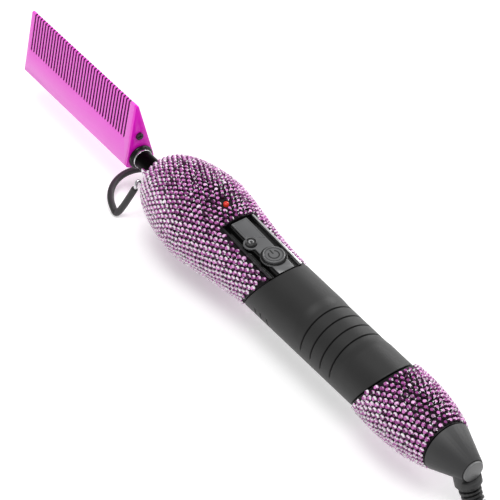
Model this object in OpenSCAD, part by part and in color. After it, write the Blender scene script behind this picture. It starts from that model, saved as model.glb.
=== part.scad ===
// Electric hot comb: a heated tooth plate on a thin neck, a crystal-covered bulb
// handle with a display and two push buttons, a folding wire rest and a
// swivelling cord tail. Millimetres. +X runs from the comb to the cord, +Z is
// up, and the origin is at the bottom centre of the tool as it stands.
// Inside the modules x = 0 is the rear face of the comb and z = 0 is the
// handle axis.

/* [Comb] */
// Length of the tooth plate
comb_len = 84; // [70:1:100]
// Greatest width of the tooth plate
comb_w = 14.1; // [12:0.1:18]
// Height of the tooth tips above the handle axis
tip_z = 26.8; // [24:0.1:32]
// Width across the tooth tips
tip_w = 1.4; // [1:0.1:2.4]
// Depth of the rounded underside below the handle axis
base_z = 4.7; // [4.6:0.1:6]
// Width of one slot between teeth
slot_w = 1; // [0.6:0.1:1.3]
// Distance from one slot to the next
slot_pitch = 2.1; // [1.8:0.05:3]
// Depth of the slots below the tooth tips
slot_depth = 18.1; // [12:0.1:18.5]
// Thickness of the cap on the rear end of the comb
end_cap_t = 1.5; // [1.2:0.1:2]

/* [Neck] */
// Radius of the neck tube
neck_r = 4.15; // [3.9:0.05:4.6]
// Wall of the neck tube
neck_wall = 0.95; // [0.8:0.05:1.1]
// How far the neck tube reaches behind the comb
neck_end = 33; // [32:0.5:36]

/* [Front bulb] */
// Radius of the bulb at its widest, over the crystals
bulb_r = 20.4; // [19:0.1:22]
// Distance of the widest place behind the comb
bulb_x = 50; // [48:0.5:52]
// Radius of the handle behind the bulb, over the crystals
waist_r = 14.5; // [14.3:0.1:15]
// Thickness of the crystal layer and its carrier at the bulb
sleeve_t = 2.6; // [2:0.1:3]
// Distance between rows of crystals
row_pitch = 2.3; // [2:0.1:3]
// Depth of the valleys between rows of crystals
row_depth = 0.7; // [0.3:0.1:1]

/* [Grip] */
// Radius of the grip at its front end
grip_front_r = 14.1; // [13.5:0.1:14.4]
// Radius of the grip at its rear end
grip_rear_r = 13.5; // [13.2:0.1:14]
// Radius of the plastic housing inside the grip
housing_r = 11.2; // [11:0.1:11.4]
// Wall of the plastic housing
housing_wall = 2; // [1.6:0.1:2.2]
// Width of the finger grooves
groove_w = 0.9; // [0.6:0.1:1.4]
// Depth of the finger grooves
groove_depth = 0.7; // [0.4:0.1:1]
// Depth of the soft recess that holds the upper grooves
recess_depth = 0.6; // [0.3:0.1:0.9]

/* [Rear bulb] */
// Radius of the rear bulb at its widest, over the crystals
rear_r = 15.3; // [14.8:0.1:16.5]
// Distance of its widest place behind the comb
rear_x = 179; // [177:0.5:181]
// Radius of the rear bulb where it ends, over the crystals
rear_end_r = 11.2; // [11.1:0.1:12]

/* [Controls] */
// Radius of the power button
power_r = 4.55; // [3.8:0.05:4.55]
// Radius of the mode button
mode_r = 2.2; // [1.8:0.05:2.4]
// Travel of both buttons
button_travel = 0.6; // [0.3:0.05:0.6]
// How far both buttons stand above the face plate
button_proud = 1.2; // [0.8:0.1:2]
// Half the width of the face plate
plate_half = 3.7; // [3.4:0.1:4]
// Thickness of the face plate
plate_t = 0.8; // [0.6:0.1:1]
// Radius of the indicator lamp
lamp_r = 1.5; // [1.2:0.1:1.8]

/* [Swivel tail] */
// Radius of the tail cone at its front end
tail_r = 10.6; // [10.4:0.1:11]
// Length of the tail cone
tail_len = 15.6; // [15:0.1:17]
// How much the tail cone narrows for each millimetre of length
tail_slope = 0.385; // [0.36:0.005:0.4]
// Radius of the swivel spindle
spindle_r = 3.2; // [3:0.1:3.4]
// Radius of the strain relief's core
relief_r = 3.1; // [2.9:0.1:3.3]
// Radius at which the strain relief bends
relief_bend_r = 15.2; // [14:0.1:16]

/* [Wire rest] */
// Height of the rest's pivot below the handle axis
pivot_drop = 6.2; // [6:0.1:6.6]
// Distance of the rest's pivot behind the comb
pivot_x = 12.5; // [12:0.1:12.6]
// Radius of the rest's wire
wire_r = 0.85; // [0.7:0.05:1]
// Radius of the rubber sleeve on the wire
pad_r = 1.5; // [1.4:0.1:1.6]
// Half the width of the rest at its feet
rest_half = 16.1; // [15.5:0.1:17]

/* [Cord] */
// Diameter of the mains cord
cord_d = 5; // [4.6:0.1:5.2]
// Length of the hank's straight runs
hank_run = 75; // [70:1:90]
// Radius of the hank's outermost fold
hank_r = 24; // [20:0.5:26]
// Height of the hank's four layers
hank_h = 21.8; // [15:0.1:25]
// Radius of the cord's last fold, from the hank to the plug
fold_r = 15; // [15:0.5:17]
// How far the tie draws each side of the hank in
waist_draw = 8; // [5:0.5:8]

/* [Hidden] */

$fn = 72;
eps = 0.01;
fit = 0.05;             // radial clearance of pieces that are pressed or slid together
slack = 0.1;            // clearance between a cover and what it covers
running = 0.08;         // radial clearance of a turning fit
gap = 0.3;              // clearance between pieces that move apart

// Comb
comb_wide_z = -2.3;     // height of the greatest width
slot_first = 3.2;       // first slot's centre from the front end
slot_last = 5;          // least distance of the last slot's centre from the rear end
slot_count = floor((comb_len - slot_first - slot_last) / slot_pitch) + 1;
slot_floor = tip_z - slot_depth;
pocket_x0 = 14 - comb_len;
pocket_x1 = -8;
pocket_half = 4.2;
pocket_z0 = -2.6;
pocket_z1 = 3.2;
heater_half = 3.8;
heater_x0 = pocket_x0 + 1;
heater_x1 = pocket_x1 - 3;
spreader_t = 1.7;
element_t = 2.2;
element_z = pocket_z0 + fit + spreader_t;
fuse_r = 0.9;
thermistor_r = 0.8;
lead_r = 0.65;
lead_y = 1.1;
screw_z = 11.2;
screw_r = 1;
screw_head_r = 1.7;
bush_r = 3.9;
bush_len = 7.8;
flange_r = 5.7;
flange_t = 1.2;
neck_in_r = neck_r - neck_wall;
ring_r = 4.5;
ring_end = 2.6;

// Handle outline, over the crystals and over the housing
nose_len = 35.4;        // from the bulb's nose point to its widest place
waist_len = 57;         // from the widest place to the waist
step_len = 38;          // from the widest place to the housing's even part
housing_nose_x = 17.8;
housing_end = 203.5;
wall_x = housing_end - 4.5;     // front face of the rear wall
housing_end_r = 9.4;
taper_x = housing_end - 13.5;   // where the housing starts to narrow
sleeve_end = housing_end + 1.8;
rear_reach = (sleeve_end - rear_x) / sqrt(1 - pow(rear_end_r / rear_r, 2));
nose_hole_r = 5.2;

function swell(t) = 0.5 + 0.5 * cos(180 * pow(min(1, max(0, t)), 0.75));
function nose(x, r, len) =
    r * pow(max(0, 1 - pow(max(0, bulb_x - x) / len, 1.6)), 1 / 3.3);
function front_r(x) =
    x < bulb_x ? nose(x, bulb_r, nose_len)
               : waist_r + (bulb_r - waist_r) * swell((x - bulb_x) / waist_len);
core_r = bulb_r - sleeve_t - slack;
function shell_r(x) =
    x < bulb_x ? nose(x, core_r, nose_len - sleeve_t - slack)
    : x < taper_x ? housing_r + (core_r - housing_r) * swell((x - bulb_x) / step_len)
    : housing_r + (housing_end_r - housing_r) * (x - taper_x) / (housing_end - taper_x);
function rear_out_r(x) = rear_r * sqrt(1 - pow((x - rear_x) / rear_reach, 2));
function grip_r(x) = grip_front_r + (grip_rear_r - grip_front_r) * (x - 98) / 72;

// Seams: slanted planes x = place + slope * z
seam_gap = 0.5;
front_seam_x = 98.4;
front_seam_slope = 0.584;
rear_seam_x = 167.6;
rear_seam_slope = 0.523;

// Grooves of the grip, by their distance behind the comb
upper_grooves = [133.8, 139.9, 146.1, 152.1];
lower_grooves = [101, 103.7, 107.3, 111.5];
recess_x = [127, 131.5, 154.5, 159];
recess_shift = 0.7;

// Control panel: its own frame, x' rearward along the plate, z' away from it
panel_x = 73.2;
panel_z = 15.75;
panel_tilt = 3.8;
panel_half = 7.8;
bezel_in = 0.8;         // how far the bezel starts in front of the plate
channel_half = 5.2;
channel_z = -2.4;
plateau_half = 4.3;
rail_in = 6.9;
bezel_under = -3.4;
opening_half = 5.7;
opening_x0 = 0.3;
opening_x1 = 30.3;
power_x = 24;
mode_x = 13.3;
mode_y = -3.4;
button_gap = 0.2;
button_flange = 0.65;
flange_h = 0.6;
bulge_r = 5.5;
mode_bulge_r = 3.2;
window_half = 3.1;
window_front = 0.6;
window_near = 9.1;
window_far = 13.5;
board_half = 5.9;
board_x0 = -12;
board_x1 = 58;
board_top = -8.2;
board_t = 1.2;
board_under = board_top - board_t;
board_screw_x = [-6, 46];
board_screw_y = 4;
post_r = 1.9;
board_screw_r = 0.8;
board_screw_head_r = 1.5;
switch_half = 2;
switch_top = -5.6;
plunger_top = -5.1;
module_x = [1.2, 9];
module_half = 2.9;
lamp_x = -9;
lamp_top = 3;

function on_plane(x, z) =   // a panel-frame place as [x, z] of the handle frame
    [panel_x + x * cos(panel_tilt) + z * sin(panel_tilt),
     panel_z - x * sin(panel_tilt) + z * cos(panel_tilt)];

// Housing screws: [x, y, boss radius, height of the head's seat]
shell_screws = [[52, 9.5, 2.6, -8], [140, 6, 2.2, -4]];
shell_screw_r = 0.95;
shell_screw_head_r = 1.7;

// Swivel
tail_x = sleeve_end + 0.7;
tail_end = tail_x + tail_len;
tail_end_r = tail_r - tail_slope * tail_len;
disc_t = 1;
disc_r = tail_end_r - 0.15;
spindle_x0 = housing_end - 21.5;
spindle_in_r = 1.9;
slip_x = [spindle_x0 + 2.5, spindle_x0 + 7.5];
slip_w = 3;
slip_r = 4.4;
retain_r = 5;
tail_wall = 1.8;
boot_x = tail_x + 9.93;
boot_angle = 66.7;
boot_len = 8.6;
boot_r = 5.3;
boot_bore_from = 6.3;
relief_lead = 1.5;
relief_tail = 6;
rib_start = 0.3;
rib_pitch = 2.12;
rib_w = 1.15;
rib_big_r = 4.5;
rib_small_r = 3.5;
relief_p1 = [boot_x + (boot_len + relief_lead) * cos(boot_angle),
             -(boot_len + relief_lead) * sin(boot_angle)];
relief_c = [relief_p1[0] + relief_bend_r * sin(boot_angle),
            relief_p1[1] + relief_bend_r * cos(boot_angle)];
relief_z = relief_c[1] - relief_bend_r;
relief_end = relief_c[0] + relief_tail;

// Standing height and the middle of the tool's length
axis_h = rib_small_r - relief_z;
mid_x = (relief_end - comb_len) / 2;

// Wire rest: control points of one side, from the ear to the middle of the bow
foot = [4.8, pad_r - axis_h];
bow = [-10.9, foot[1] + 4];
ear_in = 4.6;
ear_t = 1;
pad_start = [11.4, 10.2, -5];
function bow_point(a) =
    [foot[0] + (bow[0] - foot[0]) * sin(a), rest_half * cos(a),
     foot[1] + (bow[1] - foot[1]) * sin(a)];
hook_points = [[pivot_x, 6.3, -pivot_drop], [pivot_x - 0.2, 7.2, 1.8 - pivot_drop],
               [pivot_x - 1, 8, 3.9 - pivot_drop], [pivot_x - 1.3, 9.2, 3.7 - pivot_drop],
               pad_start];
leg_points = [[9.9, 11.9, -9.5], [7.3, 14.4, -16.4]];

// Hank: in line with the tool, behind it
cord_r = cord_d / 2;
tie_t = 0.8;
hank_base = tie_t + gap;
hank_top = hank_base + hank_h;
hank_place = [relief_end - mid_x + 99, 4];
plug_len = 30;
plug_w = 25;
plug_h = 14;
plug_neck = 12;
plug_z = hank_top + gap + tie_t + gap + plug_h / 2;
lead = [cord_d, 0, 0];
hank_start = [hank_place[0] - hank_run / 2, hank_place[1] - hank_r, hank_base + cord_r] - lead;
hank_end = [hank_place[0] + hank_run / 2, hank_place[1] - hank_r, hank_top - cord_r] + lead;
function draw(x) = waist_draw * (0.5 + 0.5 * cos(360 * x / hank_run));

// Cord: hand-set points of the free run, from the strain relief to the hank
cord_start = [relief_end - mid_x, 0, axis_h + relief_z];
cord_bend = [cord_start + lead, [174, -1.1, 3], [182, -4.6, 2.6], [190.5, -10, 2.5],
             [199, -15.4, 2.6], [207, -18.9, 3.1], hank_start - lead];

// From the hank's top layer, folded back over it to the plug
function end_point(a) = hank_end + lead + [fold_r * sin(a), fold_r * (1 - cos(a)),
    (plug_z - hank_end[2]) * (0.5 - 0.5 * cos(a))];
end_path = concat([hank_end], [for (a = [0:15:180]) end_point(a)], [end_point(180) - lead]);
plug_start = end_path[len(end_path) - 1];

// ---- Shared shapes -------------------------------------------------------

module place() {
    translate([-mid_x, 0, axis_h]) children();
}

// Turned solid about the handle axis from points [x, r]
module turned(points) {
    rotate([0, 90, 0]) rotate_extrude() polygon([for (p = points) [p[1], p[0]]]);
}

// Ring segment about the handle axis, from angle a0 to a1 counted from +Y to +Z
module turned_arc(points, a0, a1) {
    rotate([0, 90, 0]) rotate([0, 0, a0 + 90]) rotate_extrude(angle = a1 - a0)
        polygon([for (p = points) [p[1], p[0]]]);
}

// Straight tube or rod along +X
module rod_x(x0, x1, r, bore = 0) {
    translate([x0, 0, 0]) rotate([0, 90, 0]) difference() {
        cylinder(r = r, h = x1 - x0);
        if (bore > 0) translate([0, 0, -1]) cylinder(r = bore, h = x1 - x0 + 2);
    }
}

// Half-space block behind a slanted seam
module behind_seam(x, slope, shift) {
    translate([x + shift, 0, 0]) rotate([0, atan(slope), 0]) translate([0, -60, -60])
        cube([300, 120, 120]);
}

module ahead_of_seam(x, slope, shift) {
    translate([x + shift, 0, 0]) rotate([0, atan(slope), 0]) translate([-300, -60, -60])
        cube([300, 120, 120]);
}

module on_panel() {
    translate([panel_x, 0, panel_z]) rotate([0, panel_tilt, 0]) children();
}

function unit(v) = v / norm(v);
function along(p, i) =
    i == 0 ? unit(p[1] - p[0])
    : i == len(p) - 1 ? unit(p[i] - p[i - 1]) : unit(p[i + 1] - p[i - 1]);

// Rings of points round a path; side_ref keeps them from turning
function rings(p, r, sides, side_ref) = [for (i = [0:len(p) - 1])
    let (t = along(p, i), u = unit(cross(t, side_ref)), v = cross(t, u))
    for (k = [0:sides - 1]) let (a = 360 * k / sides) p[i] + r * (cos(a) * u + sin(a) * v)];

// Closed solid through rings of points, the same number of points in each
module ring_solid(points, sides) {
    n = len(points) / sides;
    walls = [for (i = [0:n - 2]) for (k = [0:sides - 1]) let (m = (k + 1) % sides)
        each [[i * sides + k, (i + 1) * sides + k, (i + 1) * sides + m],
              [i * sides + k, (i + 1) * sides + m, i * sides + m]]];
    caps = [[for (k = [0:sides - 1]) k],
            [for (k = [sides - 1:-1:0]) (n - 1) * sides + k]];
    polyhedron(points = points, faces = concat(walls, caps));
}

// Solid round tube along a path, closed at both ends
module swept(p, r, sides, side_ref = [0, 0, 1]) {
    ring_solid(rings(p, r, sides, side_ref), sides);
}

// Open tube along a path: an outer wall, an inner wall and two ring ends
module swept_tube(p, r, bore, sides, side_ref = [0, 0, 1]) {
    n = len(p);
    w = n * sides;
    faces = [for (i = [0:n - 2]) for (k = [0:sides - 1]) let (m = (k + 1) % sides,
        a = i * sides + k, b = (i + 1) * sides + k, c = (i + 1) * sides + m,
        d = i * sides + m)
        each [[a, b, c], [a, c, d], [w + a, w + c, w + b], [w + a, w + d, w + c]]];
    ends = [for (k = [0:sides - 1]) let (m = (k + 1) % sides, a = k, d = m,
        b = (n - 1) * sides + k, c = (n - 1) * sides + m)
        each [[a, d, w + d], [a, w + d, w + a], [b, w + c, c], [b, w + b, w + c]]];
    polyhedron(points = concat(rings(p, r, sides, side_ref), rings(p, bore, sides, side_ref)),
               faces = concat(faces, ends));
}

// Smooth curve through points: a cubic between each pair
function cubic(a, b, c, d, t) =
    b + 0.5 * t * (c - a + t * (2 * a - 5 * b + 4 * c - d + t * (3 * (b - c) + d - a)));
function smooth(p, n) = concat([for (i = [0:len(p) - 2]) for (k = [0:n - 1])
    cubic(p[max(0, i - 1)], p[i], p[i + 1], p[min(len(p) - 1, i + 2)], k / n)],
    [p[len(p) - 1]]);

cord_path = concat([cord_start], smooth(cord_bend, 3), [hank_start]);
echo(axis_h = axis_h, mid_x = mid_x, relief_end = relief_end, plug_start = plug_start);

// ---- Comb ----------------------------------------------------------------

module comb_section() {
    polygon(concat([for (a = [180:15:360])
        [comb_w / 2 * cos(a), comb_wide_z + (base_z + comb_wide_z) * sin(a)]],
        [[tip_w / 2, tip_z - 0.2], [tip_w / 2 - 0.3, tip_z], [0.3 - tip_w / 2, tip_z],
         [-tip_w / 2, tip_z - 0.2]]));
}

module comb_length(x0, x1) {
    translate([x0, 0, 0]) rotate([90, 0, 90]) linear_extrude(height = x1 - x0)
        comb_section();
}

module comb_slots() {
    rotate([90, 0, 0]) linear_extrude(height = comb_w + 2, center = true)
        for (i = [0:slot_count - 1])
            translate([slot_first + i * slot_pitch - comb_len, slot_floor + slot_w / 2]) {
                circle(d = slot_w);
                translate([-slot_w / 2, 0]) square([slot_w, slot_depth + 1]);
            }
}

module comb_plate() {
    place() color("hotpink") difference() {
        comb_length(-comb_len, -end_cap_t);
        comb_slots();
        translate([pocket_x0, -pocket_half, pocket_z0])
            cube([pocket_x1 - pocket_x0, 2 * pocket_half, pocket_z1 - pocket_z0]);
        rod_x(pocket_x1 - eps, 1, bush_r + fit);
        translate([0, 0, screw_z]) rod_x(-end_cap_t - 6, 1, screw_r + eps);
    }
}

module comb_end_cap() {
    place() color("mediumvioletred") difference() {
        comb_length(-end_cap_t, 0);
        rod_x(-end_cap_t - 1, 1, bush_r + fit);
        translate([0, 0, screw_z]) rod_x(-end_cap_t - 1, 1, screw_r + fit);
    }
}

module comb_screw() {
    place() color("silver") translate([0, 0, screw_z]) difference() {
        union() {
            rod_x(-end_cap_t - 5, 0.5, screw_r);
            rod_x(0, 0.9, screw_head_r);
        }
        translate([0.5, -0.2, -screw_head_r]) cube([1, 0.4, 2 * screw_head_r]);
        translate([0.5, -screw_head_r, -0.2]) cube([1, 2 * screw_head_r, 0.4]);
    }
}

module heater_block(z0, t) {
    translate([heater_x0, -heater_half, z0])
        cube([heater_x1 - heater_x0, 2 * heater_half, t]);
}

module heater_spreader() {
    place() color("lightgray") heater_block(pocket_z0 + fit, spreader_t);
}

module heater_element() {
    place() color("ivory") heater_block(element_z, element_t);
}

module thermal_fuse() {
    place() color("white") translate([0, -1.6, element_z + element_t + fuse_r])
        rod_x(heater_x1 - 16, heater_x1 - 7, fuse_r);
}

module thermistor() {
    place() color("orange") translate([0, 1.6, element_z + element_t + thermistor_r])
        rod_x(heater_x1 - 13, heater_x1 - 10, thermistor_r);
}

// ---- Neck ----------------------------------------------------------------

module insulating_bush() {
    place() color("dimgray") difference() {
        union() {
            rod_x(-bush_len, eps, bush_r);
            rod_x(0, flange_t, flange_r);
            rod_x(flange_t - eps, flange_t + 6, neck_in_r - fit);
        }
        rod_x(-bush_len - 1, flange_t + 7, lead_y + lead_r + 0.3);
    }
}

module neck_ring() {
    place() color("silver") rod_x(flange_t, ring_end, ring_r, neck_r + fit);
}

module neck_tube() {
    place() color("dimgray") rod_x(flange_t, neck_end, neck_r, neck_in_r);
}

module neck_collar() {
    place() color("silver") rod_x(boss_end + 0.2, boss_end + 1.7, neck_r + 1.25, neck_r + fit);
}

// ---- Wire rest -----------------------------------------------------------

bracket_x = [8.8, 16.2];
ear_x = [10.5, 14.5];

module stand_bracket() {
    place() color("silver") difference() {
        union() {
            intersection() {
                rod_x(bracket_x[0], bracket_x[1], nose_hole_r - slack, neck_r + fit);
                translate([0, -10, -10]) cube([30, 20, 11.5]);
            }
            for (s = [-1, 1]) translate([0, s * (ear_in + ear_t / 2), 0]) {
                translate([ear_x[0], -ear_t / 2, -pivot_drop])
                    cube([ear_x[1] - ear_x[0], ear_t, pivot_drop + 1]);
                translate([pivot_x, 0, -pivot_drop]) rotate([90, 0, 0])
                    cylinder(r = 2, h = ear_t, center = true);
            }
        }
        translate([pivot_x, 0, -pivot_drop]) rotate([90, 0, 0])
            cylinder(r = wire_r + running, h = 20, center = true);
        rod_x(0, 30, neck_r + fit);
    }
}

function half_rest(s) = [for (p = concat(hook_points, leg_points,
    [for (a = [0:15:75]) bow_point(a)])) [p[0], s * p[1], p[2]]];
function mirrored(p) = [for (i = [len(p) - 1:-1:0]) [p[i][0], -p[i][1], p[i][2]]];
rest_points = concat(half_rest(1), [bow_point(90)], mirrored(half_rest(1)));
pad_from = len(hook_points) - 1;
pad_points = [for (i = [pad_from:len(rest_points) - 1 - pad_from]) rest_points[i]];

module stand_wire() {
    place() color("silver") {
        for (s = [-1, 1]) translate([pivot_x, s * (ear_in - 0.2), -pivot_drop])
            rotate([-90 * s, 0, 0]) cylinder(r = wire_r, h = 2.3);
        swept(smooth(rest_points, 2), wire_r, 8, [1, 0, 0.3]);
    }
}

module stand_sleeve() {
    place() color("dimgray")
        swept_tube(smooth(pad_points, 2), pad_r, wire_r + fit, 10, [1, 0, 0.3]);
}

// ---- Housing -------------------------------------------------------------

boss_end = 30;
boss_r = 7;
cavity_x = 23;
nose_steps = [0, 0.8, 2.2, 4.2, 7.2, 11.2, 16.2, 22.2];
outer_xs = concat([for (d = nose_steps) housing_nose_x + d],
    [for (x = [bulb_x - 4:6:bulb_x + step_len + 6]) x], [taper_x]);
inner_xs = [for (i = [len(outer_xs) - 1:-1:0]) if (outer_xs[i] > cavity_x + 1) outer_xs[i]];

function shell_outline(grow) = [for (x = outer_xs) [x, shell_r(x) + grow]];

module shell_body() {
    turned(concat([[housing_nose_x, neck_r + fit]], shell_outline(0),
        [[housing_end, housing_end_r], [housing_end, spindle_r + running],
         [wall_x, spindle_r + running], [wall_x, shell_r(wall_x) - housing_wall]],
        [for (x = inner_xs) [x, shell_r(x) - housing_wall]],
        [[cavity_x, shell_r(cavity_x) - housing_wall], [cavity_x, boss_r],
         [boss_end, boss_r], [boss_end, neck_r + fit]]));
}

// Solid envelope of the housing, grown outwards
module envelope(grow) {
    turned(concat([[housing_nose_x, 0]], shell_outline(grow),
        [[housing_end, housing_end_r + grow], [housing_end, 0]]));
}

module screw_bosses(up) {
    intersection() {
        envelope(-housing_wall / 2);
        for (b = shell_screws) for (s = [-1, 1]) translate([b[0], s * b[1], up ? 0 : -30])
            cylinder(r = b[2], h = 30);
    }
}

module housing_upper() {
    place() color("dimgray") difference() {
        union() {
            intersection() {
                shell_body();
                translate([0, -40, 0]) cube([240, 80, 40]);
            }
            screw_bosses(true);
        }
        for (b = shell_screws) for (s = [-1, 1]) translate([b[0], s * b[1], -1])
            cylinder(r = shell_screw_r - 0.1, h = 6);
        on_panel() translate([opening_x0, -opening_half, -12])
            cube([opening_x1 - opening_x0, 2 * opening_half, 20]);
        on_panel() translate([lamp_x, 0, -6]) cylinder(r = lamp_r + fit, h = 12);
    }
}

module housing_lower() {
    place() color("dimgray") difference() {
        union() {
            intersection() {
                shell_body();
                translate([0, -40, -40]) cube([240, 80, 40]);
            }
            screw_bosses(false);
            intersection() {
                envelope(-housing_wall / 2);
                for (x = board_screw_x) for (s = [-1, 1]) on_panel()
                    translate([x, s * board_screw_y, board_under - 30])
                        cylinder(r = post_r, h = 30);
            }
        }
        for (b = shell_screws) for (s = [-1, 1]) translate([b[0], s * b[1], 0]) {
            translate([0, 0, -30]) cylinder(r = shell_screw_r + 0.1, h = 31);
            translate([0, 0, -30]) cylinder(r = shell_screw_head_r + 0.2, h = 30 + b[3]);
        }
        for (x = board_screw_x) for (s = [-1, 1]) on_panel()
            translate([x, s * board_screw_y, board_under - 6])
                cylinder(r = board_screw_r + eps, h = 7);
    }
}

module housing_screws() {
    place() color("silver") for (b = shell_screws) for (s = [-1, 1])
        translate([b[0], s * b[1], b[3]]) {
            translate([0, 0, -1.4]) cylinder(r = shell_screw_head_r, h = 1.4);
            translate([0, 0, -0.5]) cylinder(r = shell_screw_r - 0.12, h = 4.6 - b[3]);
        }
}

// ---- Covers --------------------------------------------------------------

// Crystal rows: a ridge on the outline at each row, a valley between rows
function ridge_x(x0, x1, i) = x0 + (x1 - x0) * i / (2 * floor((x1 - x0) / row_pitch));
front_x0 = bulb_x - nose_len + 0.3;
front_x1 = bulb_x + waist_len + 2;
front_steps = 2 * floor((front_x1 - front_x0) / row_pitch);
rear_x0 = 158;
rear_steps = 2 * floor((sleeve_end - rear_x0) / row_pitch);

module front_crystal_sleeve() {
    place() color("orchid") difference() {
        intersection() {
            turned(concat([[front_x0, 0]],
                [for (i = [0:front_steps]) let (x = ridge_x(front_x0, front_x1, i))
                    [x, front_r(x) - (i % 2) * row_depth]],
                [[front_x1, 0]]));
            ahead_of_seam(front_seam_x, front_seam_slope, -seam_gap / 2);
        }
        turned(concat([[housing_nose_x - slack, 0]], shell_outline(slack),
                      [[taper_x, 0]]));
        rod_x(0, 30, nose_hole_r);
        on_panel() translate([-bezel_in - slack, -panel_half - slack, -12])
            cube([60, 2 * (panel_half + slack), 30]);
        on_panel() translate([lamp_x, 0, -6]) cylinder(r = lamp_r + fit, h = 12);
    }
}

module rear_crystal_sleeve() {
    place() color("orchid") difference() {
        intersection() {
            turned(concat([[rear_x0, 0]],
                [for (i = [0:rear_steps]) let (x = ridge_x(rear_x0, sleeve_end, i))
                    [x, rear_out_r(x) - (i % 2) * row_depth]],
                [[sleeve_end, 0]]));
            behind_seam(rear_seam_x, rear_seam_slope, seam_gap / 2);
        }
        envelope(slack);
        rod_x(housing_end, sleeve_end + 1, washer_r + slack);
        rod_x(rear_x0 - 8, rear_x0 + 2, housing_r + slack);
    }
}

module groove_ring(x, a0, a1) {
    r = grip_r(x);
    turned_arc([[x - groove_w / 2, r + 1], [x - groove_w / 4, r - groove_depth - 0.3],
                [x + groove_w / 4, r - groove_depth - 0.3], [x + groove_w / 2, r + 1]],
               a0, a1);
}

// Blank of the grip, longer than the grip between its two slanted seams
grip_x0 = 86;
grip_x1 = 178;

module grip_sleeve() {
    recess_r = grip_r(143) - recess_depth + recess_shift;
    place() color("dimgray") difference() {
        turned([[grip_x0, housing_r + slack], [grip_x0, grip_r(grip_x0)],
                [grip_x1, grip_r(grip_x1)], [grip_x1, housing_r + slack]]);
        ahead_of_seam(front_seam_x, front_seam_slope, seam_gap / 2);
        behind_seam(rear_seam_x, rear_seam_slope, -seam_gap / 2);
        translate([0, 0, -recess_shift])
            turned([[recess_x[0], recess_r + recess_depth + 0.2], [recess_x[1], recess_r],
                    [recess_x[2], recess_r], [recess_x[3], recess_r + recess_depth + 0.2],
                    [recess_x[3], 30], [recess_x[0], 30]]);
        for (x = upper_grooves) groove_ring(x, -4, 184);
        for (i = [0:3]) groove_ring(lower_grooves[i], i == 0 ? 206 : 184, i == 0 ? 334 : 356);
    }
}

// ---- Controls ------------------------------------------------------------

// Length of the panel's blanks, cut off at the front seam
panel_cut = 45;

module round_at(x, y, r, z0, z1) {
    translate([x, y, z0]) cylinder(r = r, h = z1 - z0);
}

module panel_bezel() {
    profile = [[-rail_in, channel_z], [-channel_half, channel_z], [-plateau_half, -plate_t],
               [plateau_half, -plate_t], [channel_half, channel_z], [rail_in, channel_z]];
    place() color("black") difference() {
        on_panel() {
            translate([-bezel_in, 0, 0]) rotate([90, 0, 90])
                linear_extrude(height = panel_cut) polygon(concat(
                    [[-panel_half, -10], [-panel_half, channel_z]], profile,
                    [[panel_half, channel_z], [panel_half, -10]]));
            round_at(power_x, 0, bulge_r, -3, -plate_t);
            round_at(mode_x, mode_y, mode_bulge_r, -3, -plate_t);
        }
        behind_seam(front_seam_x, front_seam_slope, -seam_gap / 2);
        difference() {
            envelope(slack);
            on_panel() translate([opening_x0 + slack, slack - opening_half, bezel_under])
                cube([opening_x1 - opening_x0 - 2 * slack, 2 * (opening_half - slack), 10]);
        }
        on_panel() {
            translate([opening_x0, slack - opening_half, -20])
                cube([opening_x1 - opening_x0, 2 * (opening_half - slack), 20 + bezel_under]);
            translate([module_x[0] - slack, -module_half - slack, -6])
                cube([module_x[1] - module_x[0] + 2 * slack, 2 * (module_half + slack), 8]);
            round_at(power_x, 0, power_r + button_gap, -6, 2);
            round_at(mode_x, mode_y, mode_r + button_gap, -6, 2);
        }
    }
}

module panel_rails() {
    place() color("silver") difference() {
        on_panel() for (s = [-1, 1])
            translate([-bezel_in, s * (rail_in + panel_half) / 2, channel_z])
                translate([0, (rail_in - panel_half) / 2, 0])
                    cube([panel_cut, panel_half - rail_in, -channel_z - plate_t]);
        behind_seam(front_seam_x, front_seam_slope, -seam_gap / 2);
    }
}

module window_outline(grow) {
    polygon([[window_front - grow, -window_half - grow],
             [window_near + grow, -window_half - grow],
             [window_far + grow, window_half + grow],
             [window_front - grow, window_half + grow]]);
}

module face_plate() {
    place() color("gray") difference() {
        on_panel() translate([0, 0, -plate_t]) {
            translate([0, -plate_half, 0]) cube([panel_cut, 2 * plate_half, plate_t]);
            round_at(power_x, 0, bulge_r, 0, plate_t);
            round_at(mode_x, mode_y, mode_bulge_r, 0, plate_t);
        }
        behind_seam(front_seam_x, front_seam_slope, -seam_gap / 2);
        on_panel() {
            translate([0, 0, -2]) linear_extrude(height = 4) window_outline(fit);
            round_at(power_x, 0, power_r + button_gap, -2, 2);
            round_at(mode_x, mode_y, mode_r + button_gap, -2, 2);
        }
    }
}

module display_window() {
    place() color("black") on_panel() translate([0, 0, -plate_t])
        linear_extrude(height = plate_t) window_outline(0);
}

module display_module() {
    place() color("darkslategray") on_panel()
        translate([module_x[0], -module_half, board_top])
            cube([module_x[1] - module_x[0], 2 * module_half, -board_top - plate_t - fit]);
}

module power_ring() {
    place() color("gray") on_panel() difference() {
        round_at(power_x, 0, bulge_r - slack, 0, 0.35);
        round_at(power_x, 0, power_r + button_gap, -1, 2);
    }
}

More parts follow.
